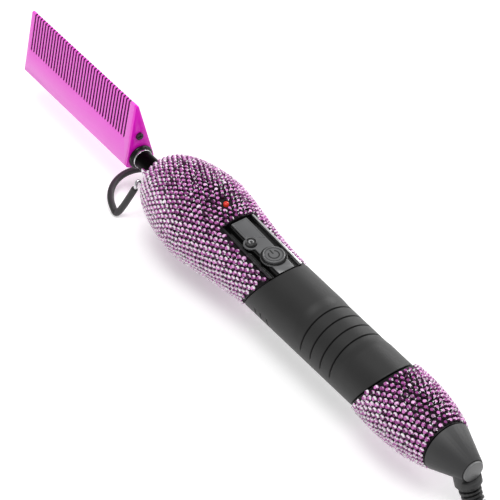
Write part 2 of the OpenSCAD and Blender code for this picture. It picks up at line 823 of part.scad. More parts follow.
module push_button(x, y, r, dish) {
    on_panel() difference() {
        union() {
            round_at(x, y, r, bezel_under - button_gap - eps, button_proud - 0.3);
            translate([x, y, button_proud - 0.3]) cylinder(r1 = r, r2 = r - 0.3, h = 0.3);
            intersection() {
                round_at(x, y, r + button_flange, bezel_under - button_gap - flange_h,
                         bezel_under - button_gap);
                translate([x - 10, slack + gap - opening_half, -10])
                    cube([20, 2 * (opening_half - slack - gap), 20]);
            }
            round_at(x, y, 1.2, plunger_top + button_travel + slack,
                     bezel_under - button_gap - flange_h + eps);
        }
        if (dish) difference() {
            round_at(x, y, 1.35, button_proud - 0.15, button_proud + 1);
            round_at(x, y, 1, 0, button_proud + 2);
            translate([x - 0.25, y, button_proud - 1]) cube([0.5, 2, 2]);
        }
    }
}

module power_button() {
    place() color("gray") push_button(power_x, 0, power_r, true);
}

module mode_button() {
    place() color("silver") push_button(mode_x, mode_y, mode_r, false);
}

module tact_switch(x, y) {
    on_panel() {
        translate([x - switch_half, y - switch_half, board_top])
            cube([2 * switch_half, 2 * switch_half, switch_top - board_top]);
        round_at(x, y, 1, switch_top - eps, plunger_top);
    }
}

module power_switch() {
    place() color("black") tact_switch(power_x, 0);
}

module mode_switch() {
    place() color("black") tact_switch(mode_x, mode_y);
}

module light_pipe() {
    place() color("red") on_panel() {
        round_at(lamp_x, 0, lamp_r, -5.2, lamp_top - lamp_r / 2);
        intersection() {
            translate([lamp_x, 0, lamp_top - lamp_r * 1.25]) sphere(r = lamp_r * 1.25);
            round_at(lamp_x, 0, lamp_r, lamp_top - lamp_r / 2 - eps, lamp_top + 2);
        }
    }
}

module indicator_led() {
    place() color("red") on_panel() {
        round_at(lamp_x, 0, 1.3, board_top, board_top + 2.2);
        round_at(lamp_x, 0, 1.5, board_top, board_top + 0.6);
    }
}

module circuit_board() {
    place() color("darkgreen") difference() {
        on_panel() translate([board_x0, -board_half, board_under])
            cube([board_x1 - board_x0, 2 * board_half, board_t]);
        for (x = board_screw_x) for (s = [-1, 1]) on_panel()
            round_at(x, s * board_screw_y, board_screw_r + 0.1, board_under - 1,
                     board_top + 1);
    }
}

module board_screws() {
    place() color("silver") on_panel() for (x = board_screw_x) for (s = [-1, 1]) {
        round_at(x, s * board_screw_y, board_screw_head_r, board_top, board_top + 1);
        round_at(x, s * board_screw_y, board_screw_r, board_under - 5, board_top + eps);
    }
}

module triac() {
    place() color("black") on_panel() {
        translate([34, -5, board_top]) cube([6, 10, 2.4]);
        translate([39.9, -5, board_top]) cube([4, 8, 0.6]);
    }
}

module capacitor() {
    place() color("navy") on_panel() translate([15, 0, board_under - 4])
        rotate([0, 90, 0]) cylinder(r = 4, h = 13);
}

// ---- Leads inside the handle ----------------------------------------------

lead_bend_r = 4;
lead_turn = 90 - panel_tilt;
lead_x = on_plane(board_x0 + 3, board_under)[0] - lead_bend_r;
lead_top = [lead_x + lead_bend_r * sin(lead_turn), lead_bend_r * (1 - cos(lead_turn))];
lead_rise = board_under - (lead_top[0] - panel_x) * sin(panel_tilt)
            - (lead_top[1] - panel_z) * cos(panel_tilt);

module heater_leads() {
    place() color("red") for (s = [-1, 1]) translate([0, s * lead_y, 0]) {
        rod_x(heater_x1, lead_x, lead_r);
        translate([lead_x, 0, lead_bend_r]) rotate([90, 0, 0]) rotate([0, 0, -90])
            rotate_extrude(angle = lead_turn) translate([lead_bend_r, 0]) circle(r = lead_r);
        translate([lead_top[0], 0, lead_top[1]]) rotate([0, panel_tilt, 0])
            cylinder(r = lead_r, h = lead_rise);
    }
}

supply_x = on_plane(board_x1 - 3, board_under)[0];
supply_z = on_plane(board_x1, board_under)[1] - lead_r - slack;
block_x0 = spindle_x0;
block_x1 = block_x0 + 14;
supply_turn = block_x0 - 6;

module supply_leads() {
    place() color("white") for (s = [-1, 1]) translate([0, s * 2, 0]) {
        translate([0, 0, supply_z]) rod_x(supply_x, supply_turn, lead_r);
        translate([supply_turn, 0, supply_z]) sphere(r = lead_r);
        translate([supply_turn, 0, supply_z]) rotate([0, 180, 0]) translate([0, 0, -lead_r])
            cylinder(r = lead_r, h = supply_z - block_top + 1 + 2 * lead_r);
        translate([0, 0, block_top - 1]) rod_x(supply_turn - lead_r, block_x0, lead_r);
    }
}

block_top = -slip_r - 1.1;

module contact_block() {
    place() color("black") intersection() {
        translate([block_x0, -4, -20]) cube([block_x1 - block_x0, 8, 20 + block_top]);
        envelope(-housing_wall - fit);
    }
}

module contact_springs() {
    place() color("goldenrod") for (x = slip_x)
        translate([x + 0.5, -3, block_top]) {
            cube([slip_w - 1, 6, 0.3]);
            translate([0, 2, 0]) cube([slip_w - 1, 2, -gap - slip_r - block_top]);
        }
}

// ---- Swivel tail -----------------------------------------------------------

washer_r = 10.2;

module swivel_washer() {
    place() color("black") rod_x(housing_end, sleeve_end - 0.1, washer_r, spindle_r + gap);
}

module swivel_spindle() {
    place() color("silver") rod_x(spindle_x0, tail_x + 2.5, spindle_r, spindle_in_r);
}

module slip_rings() {
    place() color("goldenrod") for (x = slip_x) rod_x(x, x + slip_w, slip_r, spindle_r + fit);
}

module retaining_ring() {
    place() color("silver") rod_x(wall_x - 1.6, wall_x - 0.4, retain_r, spindle_r + fit);
}

module along_boot() {
    translate([boot_x, 0, 0]) rotate([0, 90 + boot_angle, 0]) children();
}

module tail_cone() {
    cavity_end = tail_end - 2.6;
    place() color("dimgray") difference() {
        union() {
            turned([[tail_x, 0], [tail_x, tail_r], [tail_end - disc_t, tail_end_r
                     + tail_slope * disc_t], [tail_end - disc_t, 0]]);
            difference() {
                along_boot() cylinder(r = boot_r, h = boot_len);
                translate([tail_end - disc_t, -10, -disc_r - fit]) cube([20, 20, 20]);
            }
        }
        turned([[tail_x + 2.8, 0], [tail_x + 2.8, tail_r - tail_slope * 2.8 - tail_wall],
                [cavity_end, tail_r - tail_slope * (cavity_end - tail_x) - tail_wall],
                [cavity_end, 0]]);
        rod_x(tail_x - 1, tail_x + 3, spindle_r + fit);
        along_boot() translate([0, 0, boot_bore_from])
            cylinder(r = relief_r + fit, h = boot_len);
        rod_x(tail_end - 3, tail_end, 1.8 + fit);
    }
}

module end_disc() {
    place() color("gray") {
        rod_x(tail_end - disc_t, tail_end, disc_r);
        rod_x(tail_end - 2.5, tail_end - disc_t + eps, 1.8);
    }
}

relief_arc_len = relief_bend_r * boot_angle * PI / 180;
relief_len = relief_lead + relief_arc_len + relief_tail;
rib_count = floor((relief_len - rib_start - rib_w - 1) / rib_pitch) + 1;

relief_sides = 18;
rib_edge = 0.12;

function relief_turn(s) =
    boot_angle * (1 - min(1, max(0, (s - relief_lead) / relief_arc_len)));
function relief_point(s) =
    s < relief_lead ? [boot_x + (boot_len + s) * cos(boot_angle), 0,
                       -(boot_len + s) * sin(boot_angle)]
    : s < relief_lead + relief_arc_len ?
        [relief_c[0] - relief_bend_r * sin(relief_turn(s)), 0,
         relief_c[1] - relief_bend_r * cos(relief_turn(s))]
    : [relief_c[0] + s - relief_lead - relief_arc_len, 0, relief_z];
function rib_r(i) = rib_big_r + (rib_small_r - rib_big_r) * min(1, i / (rib_count - 4));

// Rings of the relief as [distance, radius]: its root, each rib, its end
relief_rings = concat([[boot_bore_from + 0.2 - boot_len, relief_r], [0, relief_r]],
    [for (i = [0:rib_count - 1]) let (s = rib_start + i * rib_pitch)
        each [[s, relief_r], [s + rib_edge, rib_r(i)], [s + rib_w - rib_edge, rib_r(i)],
              [s + rib_w, relief_r]]],
    [[relief_len, relief_r]]);

module strain_relief() {
    place() color("dimgray") ring_solid([for (q = relief_rings)
        let (p = relief_point(q[0]), t = relief_turn(q[0]))
        for (k = [0:relief_sides - 1]) let (a = 360 * k / relief_sides)
            p + q[1] * [sin(a) * sin(t), cos(a), sin(a) * cos(t)]], relief_sides);
}

// ---- Mains cord ------------------------------------------------------------

module cord() {
    color("dimgray") swept(cord_path, cord_r, 8);
}

// Hank of wound cord, as one plain solid with its outline
module cord_hank() {
    r = hank_r + cord_r;
    turn = [for (a = [0:15:180]) [hank_run / 2 + r * sin(a), -r * cos(a)]];
    run = [for (i = [1:11]) let (x = hank_run * (0.5 - i / 12)) [x, r - draw(x)]];
    half = concat(turn, run);
    entry_d = 10 + cord_r + 3;
    entry_h = hank_start[2] + cord_r + 0.6;
    exit_z = hank_end[2] - cord_r - 0.4;
    color("dimgray") difference() {
        translate([hank_place[0], hank_place[1], hank_base])
            linear_extrude(height = hank_h) polygon(concat(half, -half));
        translate([hank_start[0] - 40, hank_start[1] - 10, -1])
            cube([40, entry_d, entry_h + 1]);
        translate([hank_end[0], hank_end[1] - 10, exit_z])
            cube([40, 30, 10]);
    }
}

module cord_end() {
    color("dimgray") swept(end_path, cord_r, 8);
}

// Band round the waist of the hank, under the plug
module hank_tie() {
    half = hank_r - draw(4) + cord_r + gap;
    rise = hank_h + 2 * gap;
    color("black") translate([hank_place[0], hank_place[1], tie_t + rise / 2])
        rotate([90, 0, 90]) linear_extrude(height = 8, center = true) difference() {
            square([2 * (half + tie_t), rise + 2 * tie_t], center = true);
            square([2 * half, rise], center = true);
        }
}

module plug_body() {
    color("dimgray") translate(plug_start) rotate([0, -90, 0]) {
        cylinder(r1 = cord_r + 0.6, r2 = 5, h = plug_neck);
        translate([-plug_h / 2, -plug_w / 2, plug_neck - eps])
            cube([plug_h, plug_w, plug_len]);
    }
}

blade_w = 6.3;
blade_t = 1.5;
blade_len = 17;
blade_space = 12.7;

module plug_blades() {
    color("silver") translate(plug_start) rotate([0, -90, 0]) for (s = [-1, 1])
        translate([-blade_w / 2, s * blade_space / 2 - blade_t / 2, plug_neck + plug_len])
            cube([blade_w, blade_t, blade_len]);
}

comb_plate();
comb_end_cap();
comb_screw();
heater_element();
heater_spreader();
thermal_fuse();
thermistor();
insulating_bush();
neck_ring();
neck_tube();
neck_collar();
stand_bracket();
stand_wire();
stand_sleeve();
housing_upper();
housing_lower();
housing_screws();
front_crystal_sleeve();
grip_sleeve();
rear_crystal_sleeve();
panel_bezel();
panel_rails();
face_plate();
display_window();
display_module();
power_ring();
power_button();
mode_button();
power_switch();
mode_switch();
light_pipe();
indicator_led();
circuit_board();
board_screws();
triac();
capacitor();
heater_leads();
supply_leads();
contact_block();
contact_springs();
swivel_washer();
swivel_spindle();
slip_rings();
retaining_ring();
tail_cone();
end_disc();
strain_relief();
cord();
cord_hank();
cord_end();
hank_tie();
plug_body();
plug_blades();
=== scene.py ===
"""Finish of the hot comb: crystals, grip, paint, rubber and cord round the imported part.

Run as a script. Shapes are worked out in the handle's own frame, in millimetres:
x = 0 is the rear face of the comb, z = 0 is the handle axis, +X runs to the cord.
"""

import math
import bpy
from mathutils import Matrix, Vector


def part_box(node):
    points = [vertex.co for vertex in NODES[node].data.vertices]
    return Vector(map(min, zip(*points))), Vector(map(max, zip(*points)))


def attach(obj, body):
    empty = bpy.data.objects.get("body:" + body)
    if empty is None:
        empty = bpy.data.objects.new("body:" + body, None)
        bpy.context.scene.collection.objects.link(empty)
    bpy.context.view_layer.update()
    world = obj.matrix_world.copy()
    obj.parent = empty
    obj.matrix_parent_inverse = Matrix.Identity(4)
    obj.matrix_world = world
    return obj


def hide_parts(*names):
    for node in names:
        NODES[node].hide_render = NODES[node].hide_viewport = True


bl_info = {
    "name": "Hot comb",
    "version": (1, 0, 0),
    "blender": (4, 5, 0),
    "location": "3D View > Sidebar > Hot comb",
    "description": "Finishes an electric hot comb with a crystal-covered handle",
    "category": "Add Mesh",
}

import bmesh
import bpy
import numpy as np
from bpy.props import FloatProperty, FloatVectorProperty, IntProperty, PointerProperty

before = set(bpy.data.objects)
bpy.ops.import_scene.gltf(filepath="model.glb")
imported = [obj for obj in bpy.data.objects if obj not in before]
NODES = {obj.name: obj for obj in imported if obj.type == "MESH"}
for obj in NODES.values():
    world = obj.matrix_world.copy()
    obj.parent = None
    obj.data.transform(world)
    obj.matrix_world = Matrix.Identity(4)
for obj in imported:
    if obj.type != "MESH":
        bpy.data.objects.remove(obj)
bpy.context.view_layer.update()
MM = 0.001
SHARP_ANGLE = 40
FLAT_ANGLE = 2
EDGE_ANGLE = 35
COMB_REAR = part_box("comb_end_cap")[1].x
AXIS_Z = sum(corner.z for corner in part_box("neck_tube")) / 2

# Outline of the handle, millimetres
BULB_X = 50
NOSE_LEN = 35.4
WAIST_R = 14.5
WAIST_LEN = 57
HOUSING_R = 11.2
HOUSING_STEP = 38
HOUSING_TAPER_X = 190
HOUSING_END_X = 203.5
HOUSING_END_R = 9.4
NOSE_HOLE_R = 5.2
REAR_X = 179
REAR_REACH = 38.6
SLEEVE_END = 205.3
SLEEVE_SLACK = 0.1

# Slanted seams of the grip: x = place + slope * z, and the gap in them
FRONT_SEAM = (98.4, 0.584)
REAR_SEAM = (167.6, 0.523)
SEAM_GAP = 0.5

# Control panel: place and tilt of its own frame, and what lies on it
PANEL_X = 73.2
PANEL_Z = 15.75
PANEL_TILT = math.radians(3.8)
PANEL_HALF = 7.8
BEZEL_IN = 0.8
PANEL_DEEP = -10
POWER_AT = (24, 0)
MODE_AT = (13.3, -3.4)
LAMP_X = -9
LENS_R = 1.1
LENS_TOP = 3
LENS_FOOT = -5
POWER_R = 4.55
MODE_R = 2.2
BUTTON_PROUD = 1.2
BUTTON_FOOT = -4.3
MARK_Z = (1, 1.13)
MARK_GAP = math.radians(38)


# ---- Shapes --------------------------------------------------------------


def to_world(points):
    """Handle millimetres to metres of the frame: scale, then shift to the comb's rear."""
    return np.asarray(points, float) * MM + (COMB_REAR, 0, AXIS_Z)


def on_panel(points):
    """Panel millimetres to handle millimetres: a turn by the tilt about Y, then a shift."""
    x, y, z = np.moveaxis(np.asarray(points, float), -1, 0)
    c, s = math.cos(PANEL_TILT), math.sin(PANEL_TILT)
    return np.stack([PANEL_X + x * c + z * s, y, PANEL_Z - x * s + z * c], -1)


def swell(t):
    """Half a cosine wave from 1 to 0, with its parameter raised to 0.75."""
    return 0.5 + 0.5 * np.cos(math.pi * np.clip(t, 0, 1) ** 0.75)


def nose(x, radius, length):
    """Blunt nose: radius times (1 - (distance / length)^1.6)^(1 / 3.3)."""
    return radius * np.clip(1 - (np.clip(BULB_X - x, 0, None) / length) ** 1.6, 0, 1) ** (1 / 3.3)


def smoothstep(t):
    """3 t^2 - 2 t^3 between 0 and 1."""
    t = np.clip(t, 0, 1)
    return t * t * (3 - 2 * t)


def front_radius(x, bulb_r):
    """Front bulb over the crystals: the nose, then a swell down to the waist."""
    behind = WAIST_R + (bulb_r - WAIST_R) * swell((x - BULB_X) / WAIST_LEN)
    return np.where(x < BULB_X, nose(x, bulb_r, NOSE_LEN), behind)


def rear_radius(x, rear_r):
    """Rear bulb over the crystals: half an ellipse about its widest place."""
    return rear_r * np.sqrt(1 - ((x - REAR_X) / REAR_REACH) ** 2)


def housing_radius(x, bulb_r, sleeve_t):
    """Housing under the covers: a nose, a step down, an even part and a taper."""
    core = bulb_r - sleeve_t - SLEEVE_SLACK
    even = HOUSING_R + (core - HOUSING_R) * swell((x - BULB_X) / HOUSING_STEP)
    share = (x - HOUSING_TAPER_X) / (HOUSING_END_X - HOUSING_TAPER_X)
    tail = HOUSING_R + (HOUSING_END_R - HOUSING_R) * np.clip(share, 0, 1)
    ahead = nose(x, core, NOSE_LEN - sleeve_t - SLEEVE_SLACK)
    return np.where(x < BULB_X, ahead, np.where(x < HOUSING_TAPER_X, even, tail))


def seam_x(seam, radius_at, turn, shift):
    """Where a slanted seam cuts a turned surface at each angle, by repeated substitution."""
    place, slope = seam
    x = np.full_like(turn, place)
    for _ in range(12):
        x = place + shift + slope * radius_at(x) * np.sin(turn)
    return x


def ring(x, radius, turn):
    """Points at angle turn, from +Y to +Z, on a circle of that radius about the axis."""
    x, radius, turn = np.broadcast_arrays(x, radius, turn)
    return np.stack([x, radius * np.cos(turn), radius * np.sin(turn)], -1)


def angles(count):
    """Even angles of a whole turn."""
    return np.arange(count) * 2 * math.pi / count


def smooth_path(points, steps):
    """Cubic curve through the points, with a number of steps between each pair."""
    p = np.asarray(points, float)
    ends = np.concatenate([p[:1], p, p[-1:]])
    a, b, c, d = (ends[i : len(ends) - 3 + i, None] for i in range(4))
    t = (np.arange(steps) / steps)[None, :, None]
    curve = b + 0.5 * t * (c - a + t * (2 * a - 5 * b + 4 * c - d + t * (3 * (b - c) + d - a)))
    return np.concatenate([curve.reshape(-1, 3), p[-1:]])


def unit(v):
    """Vectors divided by their length."""
    return v / np.linalg.norm(v, axis=-1, keepdims=True)


def tube_rows(path, radius, sides, side_ref):
    """Circle round each point of a path, square to it; side_ref keeps the circles from turning."""
    path = np.asarray(path, float)
    along = unit(np.gradient(path, axis=0))
    u = unit(np.cross(along, side_ref))
    v = np.cross(along, u)
    turn = angles(sides)[None, :, None]
    radius = np.broadcast_to(radius, len(path))[:, None, None]
    return path[:, None] + radius * (np.cos(turn) * u[:, None] + np.sin(turn) * v[:, None])


def grid_faces(rows, columns, wrap_rows=False, wrap_columns=True):
    """Four-sided faces between neighbouring rows and columns of a grid of points."""
    r = np.arange(rows if wrap_rows else rows - 1)
    c = np.arange(columns if wrap_columns else columns - 1)
    r, c = np.meshgrid(r, c, indexing="ij")
    r1, c1 = (r + 1) % rows, (c + 1) % columns
    quads = [r * columns + c, r * columns + c1, r1 * columns + c1, r1 * columns + c]
    return np.stack(quads, -1).reshape(-1, 4).tolist()


def shade(mesh, sharp):
    """Smooth shading, with edges left sharp past an angle in degrees."""
    mesh.shade_smooth()
    mesh.set_sharp_from_angle(angle=math.radians(sharp))


def close_mesh(mesh):
    """Merges doubles and points every face outwards."""
    bm = bmesh.new()
    bm.from_mesh(mesh)
    bmesh.ops.remove_doubles(bm, verts=bm.verts, dist=1e-7)
    bmesh.ops.recalc_face_normals(bm, faces=bm.faces)
    bm.to_mesh(mesh)
    bm.free()


def new_object(name, points, faces, material, closed=True, sharp=SHARP_ANGLE):
    """Object from points in metres and faces, in its place, with one material."""
    mesh = bpy.data.meshes.new(name)
    mesh.from_pydata(np.asarray(points).reshape(-1, 3).tolist(), [], faces)
    if closed:
        close_mesh(mesh)
        shade(mesh, sharp)
    mesh.materials.append(material)
    piece = bpy.data.objects.new(name, mesh)
    bpy.context.scene.collection.objects.link(piece)
    return piece


def skin(name, rows, material, ends="cap", sharp=SHARP_ANGLE):
    """Closed surface through rows of points, with capped ends or rows that close on themselves."""
    rows = np.asarray(rows)
    n, m = rows.shape[:2]
    faces = grid_faces(n, m, wrap_rows=ends == "loop")
    if ends == "cap":
        faces += [list(range(m)), list(range((n - 1) * m, n * m))]
    return new_object(name, rows, faces, material, sharp=sharp)


def turned(name, profile, material, sides=96, ends="loop", sharp=SHARP_ANGLE, place=None):
    """Surface turned about the handle axis from [x, radius] points, or about a place's own."""
    profile = np.asarray(profile, float)
    rows = ring(profile[:, :1], profile[:, 1:], angles(sides)[None])
    return skin(name, to_world(rows if place is None else place(rows)), material, ends, sharp)


def mount(piece, body, slot, *nodes):
    """The piece rides on a body and stands for CAD nodes, which it hides; the slot is not used."""
    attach(piece, body)
    if nodes:
        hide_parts(*nodes)
    return piece


def apply_modifier(piece, kind, **values):
    """Adds one modifier, sets it and applies it to the mesh."""
    modifier = piece.modifiers.new(kind.lower(), kind)
    for key, value in values.items():
        setattr(modifier, key, value)
    graph = bpy.context.evaluated_depsgraph_get()
    mesh = bpy.data.meshes.new_from_object(piece.evaluated_get(graph))
    piece.modifiers.clear()
    old, piece.data = piece.data, mesh
    bpy.data.meshes.remove(old)


def rounded_copy(node, finish_name, body, slot, width):
    """Copy of a CAD node, merged, with its sharp edges rounded to a width in millimetres."""
    mesh = NODES[node].data.copy()
    mesh.name = "rounded_" + node
    mesh.materials.clear()
    mesh.materials.append(look(finish_name))
    bm = bmesh.new()
    bm.from_mesh(mesh)
    bmesh.ops.remove_doubles(bm, verts=bm.verts, dist=1e-6)
    bmesh.ops.dissolve_limit(bm, angle_limit=math.radians(FLAT_ANGLE), verts=bm.verts,
                             edges=bm.edges)
    bmesh.ops.recalc_face_normals(bm, faces=bm.faces)
    bm.to_mesh(mesh)
    bm.free()
    piece = bpy.data.objects.new("rounded_" + node, mesh)
    bpy.context.scene.collection.objects.link(piece)
    apply_modifier(piece, "BEVEL", width=width * MM, segments=3, limit_method="ANGLE",
                   angle_limit=math.radians(EDGE_ANGLE), use_clamp_overlap=True,
                   harden_normals=False)
    shade(piece.data, SHARP_ANGLE)
    return mount(piece, body, slot, node)


# ---- Materials -----------------------------------------------------------


def new_group(name, inputs, outputs):
    """Empty shader node group with named sockets: its tree, input node and output node."""
    tree = bpy.data.node_groups.new(name, "ShaderNodeTree")
    for label, kind, default in inputs:
        socket = tree.interface.new_socket(label, in_out="INPUT", socket_type=kind)
        socket.default_value = default
    for label, kind in outputs:
        tree.interface.new_socket(label, in_out="OUTPUT", socket_type=kind)
    return tree, tree.nodes.new("NodeGroupInput"), tree.nodes.new("NodeGroupOutput")


def noise_node(tree, detail):
    """Noise texture on the object's own coordinates."""
    place = tree.nodes.new("ShaderNodeTexCoord")
    noise = tree.nodes.new("ShaderNodeTexNoise")
    noise.inputs["Detail"].default_value = detail
    tree.links.new(place.outputs["Object"], noise.inputs["Vector"])
    return noise


def grain_group():
    """Surface grain: fine noise as a bump, and the same noise spread about a roughness."""
    if "surface_grain" in bpy.data.node_groups:
        return bpy.data.node_groups["surface_grain"]
    kind = "NodeSocketFloat"
    inputs = [("Scale", kind, 2000), ("Depth", kind, 0.1), ("Roughness", kind, 0.5)]
    inputs.append(("Spread", kind, 0.1))
    outputs = [("Roughness", kind), ("Normal", "NodeSocketVector")]
    tree, given, result = new_group("surface_grain", inputs, outputs)
    noise = noise_node(tree, 3)
    tree.links.new(given.outputs["Scale"], noise.inputs["Scale"])
    bump = tree.nodes.new("ShaderNodeBump")
    bump.inputs["Distance"].default_value = 0.0001
    tree.links.new(noise.outputs["Fac"], bump.inputs["Height"])
    tree.links.new(given.outputs["Depth"], bump.inputs["Strength"])
    centre = tree.nodes.new("ShaderNodeMath")
    centre.operation = "SUBTRACT"
    centre.inputs[1].default_value = 0.5
    tree.links.new(noise.outputs["Fac"], centre.inputs[0])
    spread = tree.nodes.new("ShaderNodeMath")
    spread.operation = "MULTIPLY_ADD"
    tree.links.new(centre.outputs[0], spread.inputs[0])
    tree.links.new(given.outputs["Spread"], spread.inputs[1])
    tree.links.new(given.outputs["Roughness"], spread.inputs[2])
    tree.links.new(spread.outputs[0], result.inputs["Roughness"])
    tree.links.new(bump.outputs["Normal"], result.inputs["Normal"])
    return tree


def mottle_group():
    """Colour variation: a soft noise mixes the colour with a second one."""
    if "colour_mottle" in bpy.data.node_groups:
        return bpy.data.node_groups["colour_mottle"]
    inputs = [("Colour", "NodeSocketColor", (0.5, 0.5, 0.5, 1))]
    inputs.append(("Second", "NodeSocketColor", (0.4, 0.4, 0.4, 1)))
    inputs.append(("Scale", "NodeSocketFloat", 60))
    tree, given, result = new_group("colour_mottle", inputs, [("Colour", "NodeSocketColor")])
    noise = noise_node(tree, 4)
    tree.links.new(given.outputs["Scale"], noise.inputs["Scale"])
    steep = tree.nodes.new("ShaderNodeMapRange")
    steep.inputs["From Min"].default_value = 0.35
    steep.inputs["From Max"].default_value = 0.65
    tree.links.new(noise.outputs["Fac"], steep.inputs["Value"])
    mix = tree.nodes.new("ShaderNodeMix")
    mix.data_type = "RGBA"
    tree.links.new(steep.outputs["Result"], mix.inputs["Factor"])
    tree.links.new(given.outputs["Colour"], mix.inputs[6])
    tree.links.new(given.outputs["Second"], mix.inputs[7])
    tree.links.new(mix.outputs[2], result.inputs["Colour"])
    return tree


def add_group(tree, group, **values):
    """Places a node group in a material and sets its inputs."""
    node = tree.nodes.new("ShaderNodeGroup")
    node.node_tree = group
    for key, value in values.items():
        node.inputs[key].default_value = value
    return node


def finish(name, colour, roughness, second=None, scale=60, grain=2000, depth=0.1,
           spread=0.1, **sockets):
    """Material of one finish: mottled colour, grain, and constants on the shader's own sockets."""
    name = "finish_" + name
    if name in bpy.data.materials:
        return bpy.data.materials[name]
    material = bpy.data.materials.new(name)
    material.use_nodes = True
    tree = material.node_tree
    shader = tree.nodes["Principled BSDF"]
    second = second or tuple(0.8 * c for c in colour)
    tint = add_group(tree, mottle_group(), Colour=(*colour, 1), Second=(*second, 1), Scale=scale)
    skin_grain = add_group(tree, grain_group(), Scale=grain, Depth=depth, Roughness=roughness,
                           Spread=spread)
    tree.links.new(tint.outputs["Colour"], shader.inputs["Base Color"])
    tree.links.new(skin_grain.outputs["Roughness"], shader.inputs["Roughness"])
    tree.links.new(skin_grain.outputs["Normal"], shader.inputs["Normal"])
    for key, value in sockets.items():
        shader.inputs[key.replace("_", " ")].default_value = value
    material.diffuse_color = (*colour, 1)
    return material


LOOKS = {
    # Tooth plate: satin paint, and on the slots' walls a darker copy of it as painted shade
    "pink_paint": ((0.93, 0.11, 0.75), 0.34,
                   dict(second=(0.91, 0.1, 0.72), scale=40, grain=1500, depth=0.05,
                        Coat_Weight=0.3, Coat_Roughness=0.12)),
    "slot_paint": ((0.16, 0.002, 0.11), 0.5, dict(grain=1500, depth=0.05)),
    "magenta_paint": ((0.98, 0.004, 0.72), 0.36, dict(grain=1500, depth=0.05, Coat_Weight=0.1,
                                                      Coat_Roughness=0.1)),
    # Metals
    "bright_steel": ((0.72, 0.72, 0.74), 0.22, dict(grain=3000, depth=0.05, Metallic=1.0)),
    "dark_steel": ((0.1, 0.1, 0.1), 0.3, dict(Metallic=1.0)),
    "polished_chrome": ((0.9, 0.9, 0.91), 0.32, dict(grain=1200, depth=0.02, spread=0.04,
                                                     Metallic=1.0)),
    # Dark copy of the chrome for the near rail: painted shade standing in for its dim reflection
    "smoked_trim": ((0.03, 0.03, 0.031), 0.3, dict(grain=1200, depth=0.02, spread=0.04,
                                                   Metallic=0.6)),
    "plain_aluminium": ((0.78, 0.78, 0.8), 0.35, dict(Metallic=1.0)),
    "plain_brass": ((0.72, 0.5, 0.22), 0.28, dict(grain=2600, depth=0.08, Metallic=1.0)),
    # Blacks of the neck, the panel's frame, plain mouldings, rest and strain relief
    "black_paint": ((0.001, 0.001, 0.001), 0.3, dict(grain=1800, depth=0.06, spread=0.06,
                                                     Specular_IOR_Level=0.03)),
    "gloss_black": ((0.004, 0.004, 0.004), 0.12, dict(grain=900, depth=0.02, spread=0.04,
                                                      Specular_IOR_Level=0.45)),
    "black_plastic": ((0.018, 0.018, 0.019), 0.5, dict(grain=2500, depth=0.25)),
    "charcoal_rubber": ((0.017, 0.017, 0.017), 0.5,
                        dict(second=(0.022, 0.022, 0.022), scale=90, grain=2200, depth=0.3,
                             Sheen_Weight=0.05, Sheen_Roughness=0.5)),
    "soft_grip": ((0.02, 0.02, 0.02), 0.5, dict(second=(0.017, 0.017, 0.017), scale=45, grain=2600,
                                                depth=0.3, Specular_IOR_Level=0.36)),
    "stone_glue": ((0.004, 0.002, 0.004), 0.5, dict(grain=1500, depth=0.4,
                                                    Specular_IOR_Level=0.2)),
    # Greys of the tail, the plate, the mode button and the unlit display
    "tail_plastic": ((0.062, 0.062, 0.063), 0.45, dict(grain=2400, depth=0.2,
                                                       Specular_IOR_Level=0.2)),
    "disc_plastic": ((0.2, 0.2, 0.203), 0.42, dict(grain=2400, depth=0.15)),
    "plate_grey": ((0.12, 0.121, 0.124), 0.3, dict(second=(0.11, 0.111, 0.114), grain=1600,
                                                   depth=0.08, Coat_Weight=0.3,
                                                   Coat_Roughness=0.2)),
    "button_grey": ((0.03, 0.03, 0.031), 0.3, dict(grain=1600, depth=0.08, Coat_Weight=0.4,
                                                   Coat_Roughness=0.15)),
    "display_grey": ((0.115, 0.116, 0.12), 0.2, dict(grain=700, depth=0.02, spread=0.03,
                                                     Coat_Weight=0.6, Coat_Roughness=0.05)),
    "mark_ink": ((0.01, 0.01, 0.01), 0.4, dict(grain=1500, depth=0.05)),
    "mark_light": ((0.4, 0.4, 0.41), 0.35, dict(grain=1500, depth=0.05)),
    # Lamp lens, softly lit from within
    "red_lens": ((0.55, 0.02, 0.01), 0.12, dict(grain=800, depth=0.02, spread=0.03,
                                                Emission_Color=(1.0, 0.05, 0.02, 1),
                                                Emission_Strength=0.2)),
    # Cord and plug
    "cord_jacket": ((0.016, 0.016, 0.017), 0.5, dict(grain=2600, depth=0.3)),
    "plug_moulding": ((0.017, 0.017, 0.018), 0.42, dict(grain=2200, depth=0.25)),
    # Inner pieces
    "dry_ceramic": ((0.75, 0.72, 0.64), 0.7, dict(depth=0.3)),
    "red_silicone": ((0.5, 0.03, 0.02), 0.5, dict(depth=0.15)),
    "white_silicone": ((0.75, 0.75, 0.72), 0.5, dict(depth=0.15)),
    "solder_mask": ((0.02, 0.14, 0.05), 0.35, dict(grain=900, depth=0.05)),
    "capacitor_sleeve": ((0.02, 0.04, 0.25), 0.3, dict(depth=0.05)),
}


def look(name):
    """Material of a finish in the table."""
    colour, roughness, others = LOOKS[name]
    return finish(name, colour, roughness, **others)


def grip_rubber():
    """Soft-touch dark grey of the grip, mixed to black by how deep a point lies in a groove:
    painted shade in the grooves.
    """
    material = look("soft_grip")
    tree = material.node_tree
    base = tree.nodes["Principled BSDF"].inputs["Base Color"]
    sunk = tree.nodes.new("ShaderNodeAttribute")
    sunk.attribute_name = "sunk"
    mix = tree.nodes.new("ShaderNodeMix")
    mix.data_type = "RGBA"
    tree.links.new(sunk.outputs["Fac"], mix.inputs[0])
    tree.links.new(base.links[0].from_socket, mix.inputs[6])
    mix.inputs[7].default_value = (0.0005, 0.0005, 0.0005, 1)
    tree.links.new(mix.outputs[2], base)
    return material


